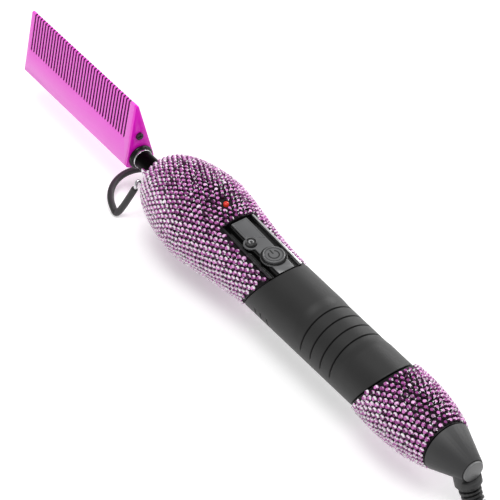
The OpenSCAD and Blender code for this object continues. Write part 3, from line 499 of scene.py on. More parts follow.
def stone_material():
    """Cut glass stones: each facet's value of painted light and shade runs through plum, mauve,
    pink and white.
    """
    if "cut_stones" in bpy.data.materials:
        return bpy.data.materials["cut_stones"]
    material = bpy.data.materials.new("cut_stones")
    material.use_nodes = True
    tree = material.node_tree
    shader = tree.nodes["Principled BSDF"]
    facet = tree.nodes.new("ShaderNodeAttribute")
    facet.attribute_name = "glint"
    ramp = tree.nodes.new("ShaderNodeValToRGB")
    stops = [(0.0, (0.004, 0.001, 0.003)), (0.25, (0.05, 0.008, 0.04)),
             (0.5, (0.36, 0.07, 0.3)), (0.7, (0.74, 0.25, 0.64)),
             (0.86, (0.95, 0.66, 0.92)), (1.0, (1.0, 0.98, 1.0))]
    elements = ramp.color_ramp.elements
    while len(elements) < len(stops):
        elements.new(0.5)
    for element, (place, colour) in zip(elements, stops):
        element.position = place
        element.color = (*colour, 1)
    tree.links.new(facet.outputs["Fac"], ramp.inputs["Fac"])
    tree.links.new(ramp.outputs["Color"], shader.inputs["Base Color"])
    shader.inputs["Roughness"].default_value = 0.12
    shader.inputs["IOR"].default_value = 1.6
    shader.inputs["Specular IOR Level"].default_value = 0.22
    shader.inputs["Coat Weight"].default_value = 0.06
    shader.inputs["Coat Roughness"].default_value = 0.03
    return material


def dress_all(**groups):
    """Puts a named finish in every slot of the CAD nodes listed under it."""
    for name, nodes in groups.items():
        for node in nodes:
            for slot in NODES[node].material_slots:
                slot.material = look(name)


# ---- Settings ------------------------------------------------------------


def length(label, about, value):
    """Size property, given in millimetres and held in metres."""
    return FloatProperty(name=label, description=about, default=value * MM,
                         subtype="DISTANCE", unit="LENGTH", precision=4)


class HotCombSizes(bpy.types.PropertyGroup):
    """Sizes of the pieces that are made here."""

    bulb_r: length("Bulb radius", "Radius of the front bulb over the stones", 20.4)
    rear_r: length("Rear bulb radius", "Radius of the rear bulb over the stones", 15.3)
    sleeve_t: length("Sleeve thickness", "Stones and their carrier at the bulb", 2.6)
    stone_r: length("Stone radius", "Radius of one stone at its girdle", 1.16)
    stone_pitch: length("Stone pitch", "Distance between stones in a row", 2.35)
    stone_h: length("Stone height", "Height of a stone above its girdle", 0.7)
    carrier_drop: length("Carrier depth", "Carrier below the tops of the stones", 0.95)
    grip_front_r: length("Grip front radius", "Grip radius at its front end", 14.1)
    grip_rear_r: length("Grip rear radius", "Grip radius at its rear end", 13.5)
    groove_w: length("Groove width", "Width of a finger groove", 0.9)
    groove_depth: length("Groove depth", "Depth of a finger groove", 0.7)
    wire_r: length("Wire radius", "Radius of the rest's wire", 0.85)
    pad_r: length("Rest sleeve radius", "Radius of the rubber on the rest", 1.5)
    cord_d: length("Cord diameter", "Diameter of the mains cord", 5)
    stone_tilt: FloatProperty(name="Stone tilt", description="Spread of the stones' tilt",
                              default=math.radians(4), subtype="ANGLE")
    seed: IntProperty(name="Seed", description="Start of the random draws", default=11)


class HotCombStage(bpy.types.PropertyGroup):
    """Floor, lights and camera."""

    floor_colour: FloatVectorProperty(name="Floor", description="Colour of the floor",
                                      subtype="COLOR", size=3, default=(0.86, 0.86, 0.86))
    floor_glow: FloatProperty(name="Floor glow", description="Light of the floor itself",
                              default=0.32)
    world_colour: FloatVectorProperty(name="Surroundings", description="Colour of the room",
                                      subtype="COLOR", size=3, default=(1.0, 1.0, 1.0))
    world_strength: FloatProperty(name="Room light", description="Brightness of the room",
                                  default=0.45)
    key_power: FloatProperty(name="Key light", description="Power of the main softbox",
                             default=5, subtype="POWER")
    back_power: FloatProperty(name="Back light", description="Power of the rear softbox",
                              default=4.5, subtype="POWER")
    camera_at: FloatVectorProperty(name="Camera", description="Place of the camera",
                                   subtype="TRANSLATION", size=3,
                                   default=(0.5186, -0.3681, 0.6019))
    camera_azimuth: FloatProperty(name="Azimuth", description="Turn of the camera about Z",
                                  default=math.radians(54.4751), subtype="ANGLE")
    camera_elevation: FloatProperty(name="Elevation", description="Height of the camera's view",
                                    default=math.radians(42.1959), subtype="ANGLE")
    camera_lens: FloatProperty(name="Lens", description="Focal length on a 36 mm sensor",
                               default=152.84)


def sizes():
    """The size settings, in millimetres, by name."""
    group = bpy.context.scene.hot_comb_sizes
    keys = [k for k in group.bl_rna.properties.keys() if k not in ("rna_type", "name")]
    held = {k: getattr(group, k) for k in keys}
    apart = ("stone_tilt", "seed")
    return {k: v if k in apart else v / MM for k, v in held.items()}


# ---- Stage ---------------------------------------------------------------


class HOTCOMB_OT_stage(bpy.types.Operator):
    """Makes the floor, the soft studio lights and the camera"""

    bl_idname = "hotcomb.stage"
    bl_label = "Stage"

    def softbox(self, name, power, side, place):
        """Square area light that looks at the object's middle."""
        light = bpy.data.lights.new(name, "AREA")
        light.energy = power
        light.size = side
        lamp = bpy.data.objects.new(name, light)
        lamp.location = place
        aim = np.array([0, 0, 0.02]) - np.array(place)
        tilt = math.atan2(math.hypot(aim[0], aim[1]), -aim[2])
        lamp.rotation_euler = (tilt, 0, math.atan2(aim[1], aim[0]) - math.pi / 2)
        bpy.context.scene.collection.objects.link(lamp)

    def execute(self, context):
        scene = context.scene
        s = scene.hot_comb_stage
        camera = bpy.data.objects.new("camera", bpy.data.cameras.new("camera"))
        camera.data.lens = s.camera_lens
        camera.data.clip_start = 0.01
        camera.location = s.camera_at
        camera.rotation_euler = (math.pi / 2 - s.camera_elevation, 0, s.camera_azimuth)
        scene.collection.objects.link(camera)
        scene.camera = camera
        world = bpy.data.worlds.new("studio")
        world.use_nodes = True
        room = world.node_tree.nodes["Background"]
        room.inputs["Color"].default_value = (*s.world_colour, 1)
        room.inputs["Strength"].default_value = s.world_strength
        scene.world = world
        scene.view_settings.view_transform = "Standard"
        self.softbox("key", s.key_power, 0.5, (0.1, -0.1, 0.95))
        self.softbox("back", s.back_power, 0.5, (-0.15, 0.75, 0.45))
        paint = finish("floor_paint", tuple(s.floor_colour), 0.6, grain=800, depth=0.02,
                       second=tuple(s.floor_colour), Emission_Strength=s.floor_glow,
                       Emission_Color=(1, 1, 1, 1))
        half = 3.0
        floor = new_object("floor", [(-half, -half, 0), (half, -half, 0), (half, half, 0),
                                     (-half, half, 0)], [[0, 1, 2, 3]], paint, closed=False)
        return {"FINISHED"}


# ---- Cord ----------------------------------------------------------------

# Where the cord leaves the strain relief, and given points of its free run, metres
CORD_EXIT = (0.161943, 0, 0.0035)
CORD_RUN = [(0.166943, 0, 0.0035), (0.174, -0.0011, 0.003), (0.182, -0.0046, 0.0026),
            (0.1905, -0.01, 0.0025), (0.199, -0.0154, 0.0026), (0.207, -0.0189, 0.0031),
            (0.213443, -0.02, 0.0036)]
HANK_AT = (0.260943, 0.004, 0.0036)
HANK_RUN = 0.075
HANK_R = 0.024
HANK_PITCH = 0.006
HANK_TURNS_A_LAYER = 1.5
HANK_LAYERS = 4
HANK_RISE = 0.0056
HANK_DRAW = 0.008
END_FOLD_R = 0.015
PLUG_Z = 0.0313

# Plug, millimetres from where the cord enters
PLUG_LEN = 42
PLUG_NECK = 12
PLUG_FLARE = 7
PLUG_EDGE_R = 1.4
PLUG_RIB = 0.28
PLUG_RIB_PITCH = 1.2


def loop_points(phase, radius):
    """One turn of the hank: a run of a sixth of the turn, a fold of a third, and the same back.

    The tie draws the runs in by HANK_DRAW * (1 + cos(2 pi x / HANK_RUN)) / 2.
    """
    half = HANK_RUN / 2
    back = phase >= 0.5
    side = np.where(back, -1, 1)
    own = np.where(back, phase - 0.5, phase)
    run = own < 1 / 6
    x = HANK_RUN * (6 * own - 0.5)
    draw = HANK_DRAW * (0.5 + 0.5 * np.cos(2 * math.pi * x / HANK_RUN))
    turn = math.pi * (3 * own - 1)
    return (side * np.where(run, x, half + radius * np.cos(turn)),
            side * np.where(run, draw - radius, radius * np.sin(turn)))


def hank_points(steps_a_turn):
    """Hank in layers that run in and out; it climbs along the run in which a layer ends."""
    turns = HANK_LAYERS * HANK_TURNS_A_LAYER
    t = np.linspace(-1 / 12, turns + 1 / 12, int((turns + 1 / 6) * steps_a_turn) + 1)
    share = np.clip(t, 0, turns) / HANK_TURNS_A_LAYER
    inward = np.abs((share + 1) % 2 - 1)
    x, y = loop_points((t + 1 / 12) % 1, HANK_R - HANK_PITCH * HANK_TURNS_A_LAYER * inward)
    level = sum(smoothstep((t - k * HANK_TURNS_A_LAYER) * 6 + 0.5) for k in range(1, HANK_LAYERS))
    return np.stack([x, y, HANK_RISE * level], -1) + HANK_AT


def end_points(start, lead):
    """Straight lead, a fold to the left that rises on half a cosine, straight lead."""
    a = np.radians(np.arange(0, 181, 4))
    rise = 0.5 - 0.5 * np.cos(a)
    fold = np.stack([start[0] + END_FOLD_R * np.sin(a), start[1] + END_FOLD_R * (1 - np.cos(a)),
                     start[2] + (PLUG_Z - start[2]) * rise], -1)
    return np.concatenate([fold, fold[-1:] - [(lead, 0, 0)]])


def cord_path(diameter):
    """Centreline of the whole cord, from the strain relief to the plug, metres."""
    hank = hank_points(96)
    end = end_points(hank[-1] + (2 * diameter, 0, 0), diameter)
    return np.concatenate([[CORD_EXIT], smooth_path(CORD_RUN, 6), hank, end])


def plug_rows(start):
    """Plug along -X: a ribbed neck, then a body whose sections are rounded rectangles.

    A section is a superellipse: its points lie at (|cos|^p + |sin|^p)^(-1 / p) of the half sizes.
    """
    front = PLUG_LEN - PLUG_EDGE_R
    shoulder = PLUG_NECK + PLUG_FLARE
    quarter = np.linspace(0, 1, 7)[1:] * math.pi / 2
    s = np.concatenate([np.linspace(0, PLUG_NECK, 61), np.linspace(PLUG_NECK + 0.2, shoulder, 20),
                        np.linspace(shoulder + 1, front, 8),
                        PLUG_LEN - PLUG_EDGE_R * (1 - np.sin(quarter))])
    ribs = PLUG_RIB * np.sign(np.sin(s * math.pi / PLUG_RIB_PITCH)) * (s > 0.8) * (s < 11.4)
    neck = 3.1 + 1.9 * s / PLUG_NECK + ribs
    flare = smoothstep((s - PLUG_NECK) / PLUG_FLARE)
    past = np.clip((s - front) / PLUG_EDGE_R, 0, 1)
    inset = PLUG_EDGE_R * (1 - np.sqrt(1 - past**2))
    half_w = np.where(s <= PLUG_NECK, neck, 5 + 7.5 * flare) - inset
    half_h = np.where(s <= PLUG_NECK, neck, 5 + 2 * flare) - inset
    power = (2 + 3.5 * flare)[:, None]
    turn = angles(64)
    c, sn = np.cos(turn)[None], np.sin(turn)[None]
    scale = (np.abs(c) ** power + np.abs(sn) ** power) ** (-1 / power)
    y, z = half_w[:, None] * scale * c, half_h[:, None] * scale * sn
    x = np.broadcast_to(-s[:, None], y.shape)
    return np.stack([x, y, z], -1) * MM + np.asarray(start)


class HOTCOMB_OT_cord(bpy.types.Operator):
    """Makes the mains cord, folded in a tied hank, with its plug"""

    bl_idname = "hotcomb.cord"
    bl_label = "Cord"

    def execute(self, context):
        diameter = sizes()["cord_d"] * MM
        path = cord_path(diameter)
        rows = tube_rows(path, diameter / 2, 12, (0, 0, 1))
        cord = mount(skin("mains_cord", rows, look("cord_jacket")), "tail", "cord_black",
                     "cord", "cord_hank", "cord_end")
        plug = mount(skin("plug_moulding", plug_rows(path[-1]), look("plug_moulding"), sharp=50),
                     "tail", "plug_black", "plug_body")
        dress_all(black_plastic=["hank_tie"], plain_brass=["plug_blades"])
        return {"FINISHED"}


# ---- Comb and neck -------------------------------------------------------


class HOTCOMB_OT_comb(bpy.types.Operator):
    """Finishes the tooth plate, its end cap and what is inside it"""

    bl_idname = "hotcomb.comb"
    bl_label = "Comb"

    def paint_slot_shade(self, plate):
        """Painted shade: a darker material on the walls between the teeth, which face along X."""
        mesh = plate.data
        mesh.materials.append(look("slot_paint"))
        near, far = (corner.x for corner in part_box("comb_plate"))
        normals, centres = np.empty(3 * len(mesh.polygons)), np.empty(3 * len(mesh.polygons))
        mesh.polygons.foreach_get("normal", normals)
        mesh.polygons.foreach_get("center", centres)
        across = np.abs(normals.reshape(-1, 3)[:, 0]) > 0.9
        x = centres.reshape(-1, 3)[:, 0]
        inner = across & (x > near + 0.5 * MM) & (x < far - 0.5 * MM)
        mesh.polygons.foreach_set("material_index", inner.astype(np.int32))

    def execute(self, context):
        plate = rounded_copy("comb_plate", "pink_paint", "handle", "pink_plate", 0.18)
        self.paint_slot_shade(plate)
        rounded_copy("comb_end_cap", "magenta_paint", "handle", "magenta_cap", 0.3)
        dress_all(dark_steel=["comb_screw"], dry_ceramic=["heater_element", "thermal_fuse"],
                  plain_aluminium=["heater_spreader"], red_silicone=["thermistor"])
        return {"FINISHED"}


class HOTCOMB_OT_neck(bpy.types.Operator):
    """Finishes the neck tube, its bush and rings, and the rest's bracket"""

    bl_idname = "hotcomb.neck"
    bl_label = "Neck"

    def execute(self, context):
        rounded_copy("insulating_bush", "gloss_black", "handle", "black_plastic", 0.35)
        rounded_copy("neck_ring", "bright_steel", "handle", "steel", 0.12)
        rounded_copy("neck_tube", "black_paint", "handle", "black_metal", 0.12)
        rounded_copy("stand_bracket", "bright_steel", "handle", "steel", 0.15)
        dress_all(bright_steel=["neck_collar"])
        return {"FINISHED"}


# ---- Wire rest -----------------------------------------------------------

# One side of the rest, from its ear to its foot, millimetres
REST_HOOK = [(12.5, 6.3, -6.2), (12.3, 7.2, -4.4), (11.5, 8, -2.3), (11.2, 9.2, -2.5),
             (11.4, 10.2, -5)]
REST_LEG = [(9.9, 11.9, -9.5), (7.3, 14.4, -16.4)]
REST_HALF = 16.1
REST_FOOT_X = 4.8
REST_BOW_X = -10.9
REST_BOW_RISE = 4
EAR_Y = 4.4


def rest_points(pad_r):
    """Both legs and the bow between them; the bow is half an ellipse that rises to its middle."""
    a = np.radians(np.arange(0, 76, 15))
    foot_z = pad_r - AXIS_Z / MM
    bow = lambda t: np.stack([REST_FOOT_X + (REST_BOW_X - REST_FOOT_X) * np.sin(t),
                              REST_HALF * np.cos(t), foot_z + REST_BOW_RISE * np.sin(t)], -1)
    side = np.concatenate([REST_HOOK, REST_LEG, bow(a)])
    other = side[::-1] * (1, -1, 1)
    return np.concatenate([side, bow(np.array([math.pi / 2])), other])


class HOTCOMB_OT_rest(bpy.types.Operator):
    """Makes the folding wire rest and its rubber sleeve"""

    bl_idname = "hotcomb.rest"
    bl_label = "Wire rest"

    def execute(self, context):
        s = sizes()
        points = rest_points(s["pad_r"])
        sideways = (1, 0, 0.3)
        ear = [(REST_HOOK[0][0], EAR_Y, REST_HOOK[0][2])]
        line = smooth_path(points, 8)
        path = np.concatenate([ear, line, np.array(ear) * (1, -1, 1)])
        bare = to_world(tube_rows(path, s["wire_r"], 20, sideways))
        wire = skin("rest_wire", bare, look("bright_steel"))
        mount(wire, "rest", "steel", "stand_wire")
        skip = len(REST_HOOK) - 1
        covered = smooth_path(points[skip : len(points) - skip], 8)
        outer = tube_rows(covered, s["pad_r"], 28, sideways)
        start, stop = (tube_rows(covered, s["pad_r"] - 0.25, 28, sideways)[i] for i in (0, -1))
        inner = tube_rows(covered, s["wire_r"] + 0.05, 28, sideways)
        loop = np.concatenate([start[None], outer[1:-1], stop[None], inner[::-1]])
        sleeve = skin("rest_sleeve", to_world(loop), look("charcoal_rubber"), ends="loop", sharp=50)
        mount(sleeve, "rest", "black_rubber", "stand_sleeve")
        return {"FINISHED"}


# ---- Crystals ------------------------------------------------------------

STONE_SIDES = 8
ROW_SHARE = 0.96
# Direction of the light that the stones' painted highlights and shade are worked out from
GLINT_FROM = np.array((0.2, 0.15, 0.968))
PANEL_CLEAR = 1.1
SEAM_CLEAR = 0.85
CARRIER_COLUMNS = 144
CARRIER_WALL = 0.8
NOSE_EDGE = 0.6
FRONT_ROWS_TO = 110
REAR_ROWS_FROM = 158
STONE_SKIRT = 0.75


def stone_template(radius, height, skirt):
    """Cut stone: a skirt, a girdle, a crown of triangles and a table; points and faces."""
    turn = angles(STONE_SIDES)
    half = math.pi / STONE_SIDES
    table_r = 0.56 * radius
    levels = [(0.86 * radius, -skirt, 0), (radius, 0, 0), (table_r, height, half)]
    points = [[r * math.cos(t + d), r * math.sin(t + d), z] for r, z, d in levels for t in turn]
    n = STONE_SIDES
    faces = [[i, (i + 1) % n, n + (i + 1) % n, n + i] for i in range(n)]
    faces += [[n + i, n + (i + 1) % n, 2 * n + i] for i in range(n)]
    faces += [[n + (i + 1) % n, 2 * n + (i + 1) % n, 2 * n + i] for i in range(n)]
    faces += [list(range(2 * n, 3 * n)), list(range(n - 1, -1, -1))]
    return np.array(points), faces


def stone_places(radius_at, x0, x1, pitch, top, rng, anchor, gap_from=1000, gap_half=0):
    """Staggered rings at even steps along the outline, one of them at the anchor.

    Behind gap_from the rings leave out the top, where |y| is under gap_half, and
    every other ring has a stone right at each side of that gap.
    """
    x = np.linspace(x0, x1, 2000)
    r = radius_at(x)
    run = np.concatenate([[0], np.cumsum(np.hypot(np.diff(x), np.diff(r)))])
    step = ROW_SHARE * pitch
    first = (np.interp(anchor, x, run) - pitch / 2) % step + pitch / 2
    rows = np.arange(first, run[-1] - pitch * 0.3, step)
    row_x, row_r = np.interp(rows, run, x), np.interp(rows, run, r)
    slope = np.interp(rows, run, np.gradient(r, run))
    forward = np.interp(rows, run, np.gradient(x, run))
    centres, normals = [], []
    for k in range(len(rows)):
        inner_r = row_r[k] - top
        start, span = math.pi / 2, 2 * math.pi
        gap = row_x[k] > gap_from
        if gap:
            start = math.pi - math.acos(gap_half / inner_r)
            span = 3 * math.pi - 2 * start
        count = max(6, int(span * inner_r / (pitch * 0.99)))
        places = np.arange(count + 1 if gap and k % 2 == 0 else count) + 0.5 * (k % 2)
        turn = start + places * span / count
        turn = turn + rng.normal(0, 0.015 * pitch / row_r[k], len(turn))
        normal = ring(-slope[k], forward[k], turn)
        centres.append(ring(row_x[k], row_r[k], turn) - top * normal)
        normals.append(normal)
    return np.concatenate(centres), np.concatenate(normals)


def clear_of(seam, centres, side, clear):
    """True where a place lies on its own side of a slanted seam, by at least the clearance."""
    place, slope = seam
    off = (centres[:, 0] - place - slope * centres[:, 2]) / math.hypot(1, slope)
    return side * off > clear + SEAM_GAP / 2


def stones(name, centres, normals, s, rng):
    """One mesh of cut stones with a random turn and tilt each.

    A facet's brightness is painted light and shade: a random level of its stone, less on
    stones that face sideways or down, plus how much more it faces the light than its stone
    does, plus noise. The facet that faces it most is a near white painted highlight, and so is
    one more.
    """
    points, faces = stone_template(s["stone_r"], s["stone_h"], STONE_SKIRT)
    count = len(centres)
    tilted = unit(normals + rng.normal(0, s["stone_tilt"], (count, 3)))
    spin = rng.uniform(0, 2 * math.pi, count)
    u = unit(np.cross(tilted, (1.0, 0.1, 0.2)))
    v = np.cross(tilted, u)
    c, sn = np.cos(spin)[:, None], np.sin(spin)[:, None]
    across, beside = c * u + sn * v, c * v - sn * u
    size = rng.normal(1, 0.03, count)[:, None, None]
    basis = np.stack([across, beside, tilted], 1)
    placed = centres[:, None] + size * np.einsum("vj,njk->nvk", points, basis)
    offsets = np.arange(count) * len(points)
    listed = [[i + o for i in face] for o in offsets.tolist() for face in faces]
    piece = new_object(name, to_world(placed), listed, stone_material(), closed=False)
    corners = points[[face[:3] for face in faces]]
    facing = unit(np.cross(corners[:, 1] - corners[:, 0], corners[:, 2] - corners[:, 0]))
    lit = np.einsum("fj,njk,k->nf", facing, basis, GLINT_FROM) - (tilted @ GLINT_FROM)[:, None]
    low = 1 - np.clip(tilted[:, 2], 0, 1)
    glint = (rng.uniform(0.44, 0.64, count) - 0.13 * low)[:, None] + lit
    glint += rng.normal(0, 0.12, glint.shape)
    crown = slice(STONE_SIDES, 3 * STONE_SIDES)
    glint[np.arange(count), STONE_SIDES + np.argmax(lit[:, crown], 1)] = 1 - 0.3 * low
    glint[np.arange(count), rng.integers(STONE_SIDES, 3 * STONE_SIDES, count)] = 1
    glint = np.clip(glint, 0, 1)
    glint[:, -1] = 0
    # Skirts darkened: painted shade in the gaps between the stones
    glint[:, :STONE_SIDES] *= 0.12
    attribute = piece.data.attributes.new("glint", "FLOAT", "FACE")
    attribute.data.foreach_set("value", glint.ravel())
    return piece


def carrier_rows(radius_at, inner_at, start_x, end_x, drop, rows=160):
    """Closed wall from the outline less a drop to the inner radius, between two edges."""
    u = (1 - np.cos(np.linspace(0, math.pi, rows)))[:, None] / 2
    x = start_x + u * (end_x - start_x)
    turn = angles(CARRIER_COLUMNS)[None]
    outer = ring(x, radius_at(x) - drop, turn)
    inner = ring(x, inner_at(x), turn)
    return to_world(np.concatenate([outer, inner[::-1]]))


def panel_block(half, x0, x1, z0, z1):
    """Box in the panel's frame, as a cutter: its object, in the frame."""
    corners = [(x, y, z) for x in (x0, x1) for y in (-half, half) for z in (z0, z1)]
    faces = [[0, 1, 3, 2], [4, 6, 7, 5], [0, 4, 5, 1], [2, 3, 7, 6], [0, 2, 6, 4], [1, 5, 7, 3]]
    points = to_world(on_panel(corners))
    return new_object("panel_cutter", points, faces, look("black_plastic"), sharp=30)


class HOTCOMB_OT_crystals(bpy.types.Operator):
    """Covers both bulbs with rings of cut stones on black carriers"""

    bl_idname = "hotcomb.crystals"
    bl_label = "Crystals"

    def execute(self, context):
        s = sizes()
        rng = np.random.default_rng(s["seed"])
        turn = angles(CARRIER_COLUMNS)[None]
        front = lambda x: front_radius(x, s["bulb_r"])
        rear = lambda x: rear_radius(x, s["rear_r"])
        housing = lambda x: housing_radius(x, s["bulb_r"], s["sleeve_t"]) + SLEEVE_SLACK
        glue = look("stone_glue")

        nose_x = BULB_X - NOSE_LEN + NOSE_EDGE
        end = seam_x(FRONT_SEAM, front, turn, -SEAM_GAP / 2)
        under = s["carrier_drop"] + CARRIER_WALL
        inner = lambda x: np.maximum(np.minimum(housing(x), front(x) - under), NOSE_HOLE_R)
        rows = carrier_rows(front, inner, nose_x, end, s["carrier_drop"])
        carrier = skin("front_carrier", rows, glue, ends="loop", sharp=50)
        cutter = panel_block(PANEL_HALF + 0.05, -BEZEL_IN, 60, PANEL_DEEP, 12)
        apply_modifier(carrier, "BOOLEAN", object=cutter, operation="DIFFERENCE", solver="EXACT")
        bpy.data.objects.remove(cutter)
        shade(carrier.data, 50)
        mount(carrier, "handle", "crystal", "front_crystal_sleeve")
        top = s["stone_h"]
        side = PANEL_HALF + PANEL_CLEAR
        ahead = PANEL_X - BEZEL_IN - PANEL_CLEAR
        centres, normals = stone_places(front, nose_x, FRONT_ROWS_TO, s["stone_pitch"], top,
                                        rng, ahead, ahead + 0.5, side)
        keep = clear_of(FRONT_SEAM, centres, -1, SEAM_CLEAR)
        lamp = on_panel([(LAMP_X, 0, 0)])[0]
        off_lamp = np.hypot(centres[:, 0] - lamp[0], centres[:, 1]) > LENS_R + s["stone_r"] * 0.8
        keep &= (centres[:, 2] < 0) | off_lamp
        centres, normals = centres[keep], normals[keep]
        piece = stones("front_stones", centres, normals, s, rng)
        mount(piece, "handle", "crystal", "front_crystal_sleeve")

        start = seam_x(REAR_SEAM, rear, turn, SEAM_GAP / 2)
        rows = carrier_rows(rear, housing, start, SLEEVE_END, s["carrier_drop"], 90)
        carrier = skin("rear_carrier", rows, glue, ends="loop", sharp=50)
        mount(carrier, "handle", "crystal", "rear_crystal_sleeve")
        centres, normals = stone_places(rear, REAR_ROWS_FROM, SLEEVE_END, s["stone_pitch"],
                                        top, rng, SLEEVE_END - s["stone_r"])
        keep = clear_of(REAR_SEAM, centres, 1, SEAM_CLEAR)
        piece = stones("rear_stones", centres[keep], normals[keep], s, rng)
        mount(piece, "handle", "crystal", "rear_crystal_sleeve")
        return {"FINISHED"}


# ---- Grip ----------------------------------------------------------------

UPPER_GROOVES = (133.8, 139.9, 146.1, 152.1)
LOWER_GROOVES = ((101, 26), (103.7, 4), (107.3, 4), (111.5, 4))
RECESS_X = (127, 131.5, 154.5, 159)
RECESS_DEPTH = 0.6
RECESS_SHIFT = 0.7
RIM_R = 0.5
GROOVE_REACH = 0.7
GROOVE_FADE_DEG = 5
GRIP_FROM = 98
GRIP_LEN = 72


def groove(x, centre, width):
    """Rounded trough: 1 at its centre and 0 half a width away."""
    return smoothstep(1 - np.abs(x - centre) / (width / 2)) ** 0.7


def grip_stations():
    """Places along the grip, close together where a groove or a rim needs them."""
    marks = list(UPPER_GROOVES) + [c for c, _ in LOWER_GROOVES]
    fine = [np.linspace(c - GROOVE_REACH, c + GROOVE_REACH, 15) for c in marks]
    front, rear = FRONT_SEAM[0], REAR_SEAM[0]
    rims = [front + np.array([0, 0.02, 0.06, 0.12, 0.2, 0.3, 0.4, 0.5, 0.7, 1, 1.5]),
            rear - np.array([0, 0.05, 0.15, 0.3, 0.5, 0.75, 1])]
    even = [np.arange(front + 2.2, rear - 1, 0.6)]
    return np.unique(np.round(np.concatenate(fine + rims + even), 3))


def grip_x(station, turn, radius_at):
    """Stations slanted to the seams: between a seam and the first groove they follow its slope."""
    front = seam_x(FRONT_SEAM, radius_at, turn, SEAM_GAP / 2)
    rear = seam_x(REAR_SEAM, radius_at, turn, -SEAM_GAP / 2)
    upper = np.sin(turn) > 0
    first = np.where(upper, RECESS_X[0], LOWER_GROOVES[0][0] - GROOVE_REACH)
    last = RECESS_X[3] + 0.5
    ahead = front + (station - FRONT_SEAM[0]) * (first - front) / (first - FRONT_SEAM[0])
    behind = last + (station - last) * (rear - last) / (REAR_SEAM[0] - last)
    x = np.where(station < first, ahead, np.where(station > last, behind, station))
    return x, front, rear


def recess_dip(x, rise):
    """Depth of the soft recess: a shifted circle's sagitta, eased in and out along the grip."""
    recess = smoothstep((x - RECESS_X[0]) / (RECESS_X[1] - RECESS_X[0]))
    recess *= smoothstep((RECESS_X[3] - x) / (RECESS_X[3] - RECESS_X[2]))
    return np.clip(RECESS_SHIFT * rise - RECESS_SHIFT + RECESS_DEPTH, 0, None) * recess


def paint_groove_shade(piece, radius_at, depth):
    """Painted groove shade: an attribute from 0 on the open skin to 1 in a groove, by each point's
    lack of radius.
    """
    mesh = piece.data
    points = np.empty(len(mesh.vertices) * 3)
    mesh.vertices.foreach_get("co", points)
    x, y, z = ((points.reshape(-1, 3) - to_world((0, 0, 0))) / MM).T
    radius = np.hypot(y, z)
    lack = (radius_at(x) - recess_dip(x, z / radius) - radius) / depth
    attribute = mesh.attributes.new("sunk", "FLOAT", "POINT")
    attribute.data.foreach_set("value", smoothstep((lack - 0.1) / 0.5))


class HOTCOMB_OT_grip(bpy.types.Operator):
    """Makes the soft grip with its recess and finger grooves"""

    bl_idname = "hotcomb.grip"
    bl_label = "Grip"

    def execute(self, context):
        s = sizes()
        slope = (s["grip_rear_r"] - s["grip_front_r"]) / GRIP_LEN
        radius_at = lambda x: s["grip_front_r"] + slope * (x - GRIP_FROM)
        turn = angles(180)[None]
        station = grip_stations()[:, None]
        x, front, rear = grip_x(station, turn, radius_at)
        rise = np.sin(turn)
        degrees = np.degrees(np.arctan2(rise, np.cos(turn))) % 360
        dip = recess_dip(x, rise)
        cut = np.zeros_like(x)
        fade = smoothstep((rise + 0.07) / 0.12)
        for centre in UPPER_GROOVES:
            cut = np.maximum(cut, groove(x, centre, s["groove_w"]) * fade)
        for centre, inset in LOWER_GROOVES:
            ends = np.minimum(degrees - 180 - inset, 360 - inset - degrees)
            fade = smoothstep(ends / GROOVE_FADE_DEG)
            cut = np.maximum(cut, groove(x, centre, s["groove_w"]) * fade)
        edge = np.minimum(x - front, rear - x)
        rim = RIM_R - np.sqrt(np.clip(RIM_R**2 - np.clip(RIM_R - edge, 0, None) ** 2, 0, None))
        radius = radius_at(x) - dip - s["groove_depth"] * cut - rim
        outer = ring(x, radius, turn)
        inner = ring(x[[-1, 0]], HOUSING_R + SLEEVE_SLACK, turn)
        rows = to_world(np.concatenate([outer, inner]))
        grip = skin("soft_grip", rows, grip_rubber(), ends="loop", sharp=60)
        paint_groove_shade(grip, radius_at, s["groove_depth"])
        mount(grip, "handle", "grip", "grip_sleeve")
        return {"FINISHED"}


# ---- Controls ------------------------------------------------------------


def button_profile(radius):
    """Round cap as [height, radius]: a flat face, a groove, a rounded rim and a straight wall.

    The groove is half a sine wave and the rim is half a circle.
    """
    rim = 0.08 * radius
    groove_r = radius - 2 * rim
    level = BUTTON_PROUD - 0.1
    face = [(level, r) for r in np.linspace(0.01, groove_r - 1.4 * rim, 6)]
    dip = [(level - 0.35 * math.sin(math.pi * t), groove_r + (t - 1) * 1.2 * rim)
           for t in np.linspace(0, 1, 9)]
    a = np.linspace(0, math.pi, 11)[1:]
    edge = [(BUTTON_PROUD - rim + rim * math.sin(t) + 0.1, radius - rim - rim * math.cos(t))
            for t in a]
    return face + dip + edge + [(BUTTON_FOOT, radius), (BUTTON_FOOT, 0.01)]


def about(place):
    """Maps a turned shape's axis to the panel's normal at a place on the plate."""
    def move(points):
        x, y, z = np.moveaxis(points, -1, 0)
        return on_panel(np.stack([place[0] + y, place[1] + z, x], -1))
    return move


def arc_bar(place, radius, width, start, stop, steps=40):
    """Raised arc on a button: a rectangle carried round from one angle to another."""
    a = np.linspace(start, stop, steps)[:, None]
    r = radius + width / 2 * np.array([[-1, 1, 1, -1]])
    z = np.broadcast_to(np.repeat(MARK_Z, 2), (steps, 4))
    points = np.stack([place[0] + r * np.cos(a), place[1] + r * np.sin(a), z], -1)
    return to_world(on_panel(points))


def straight_bar(place, start, stop, width):
    """Raised bar on a button between two places along the panel's x."""
    sides = zip(width / 2 * np.array([-1, 1, 1, -1]), np.repeat(MARK_Z, 2))
    section = [(place[1] + y, z) for y, z in sides]
    return to_world(on_panel([[(place[0] + x, *corner) for corner in section]
                              for x in (start, stop)]))


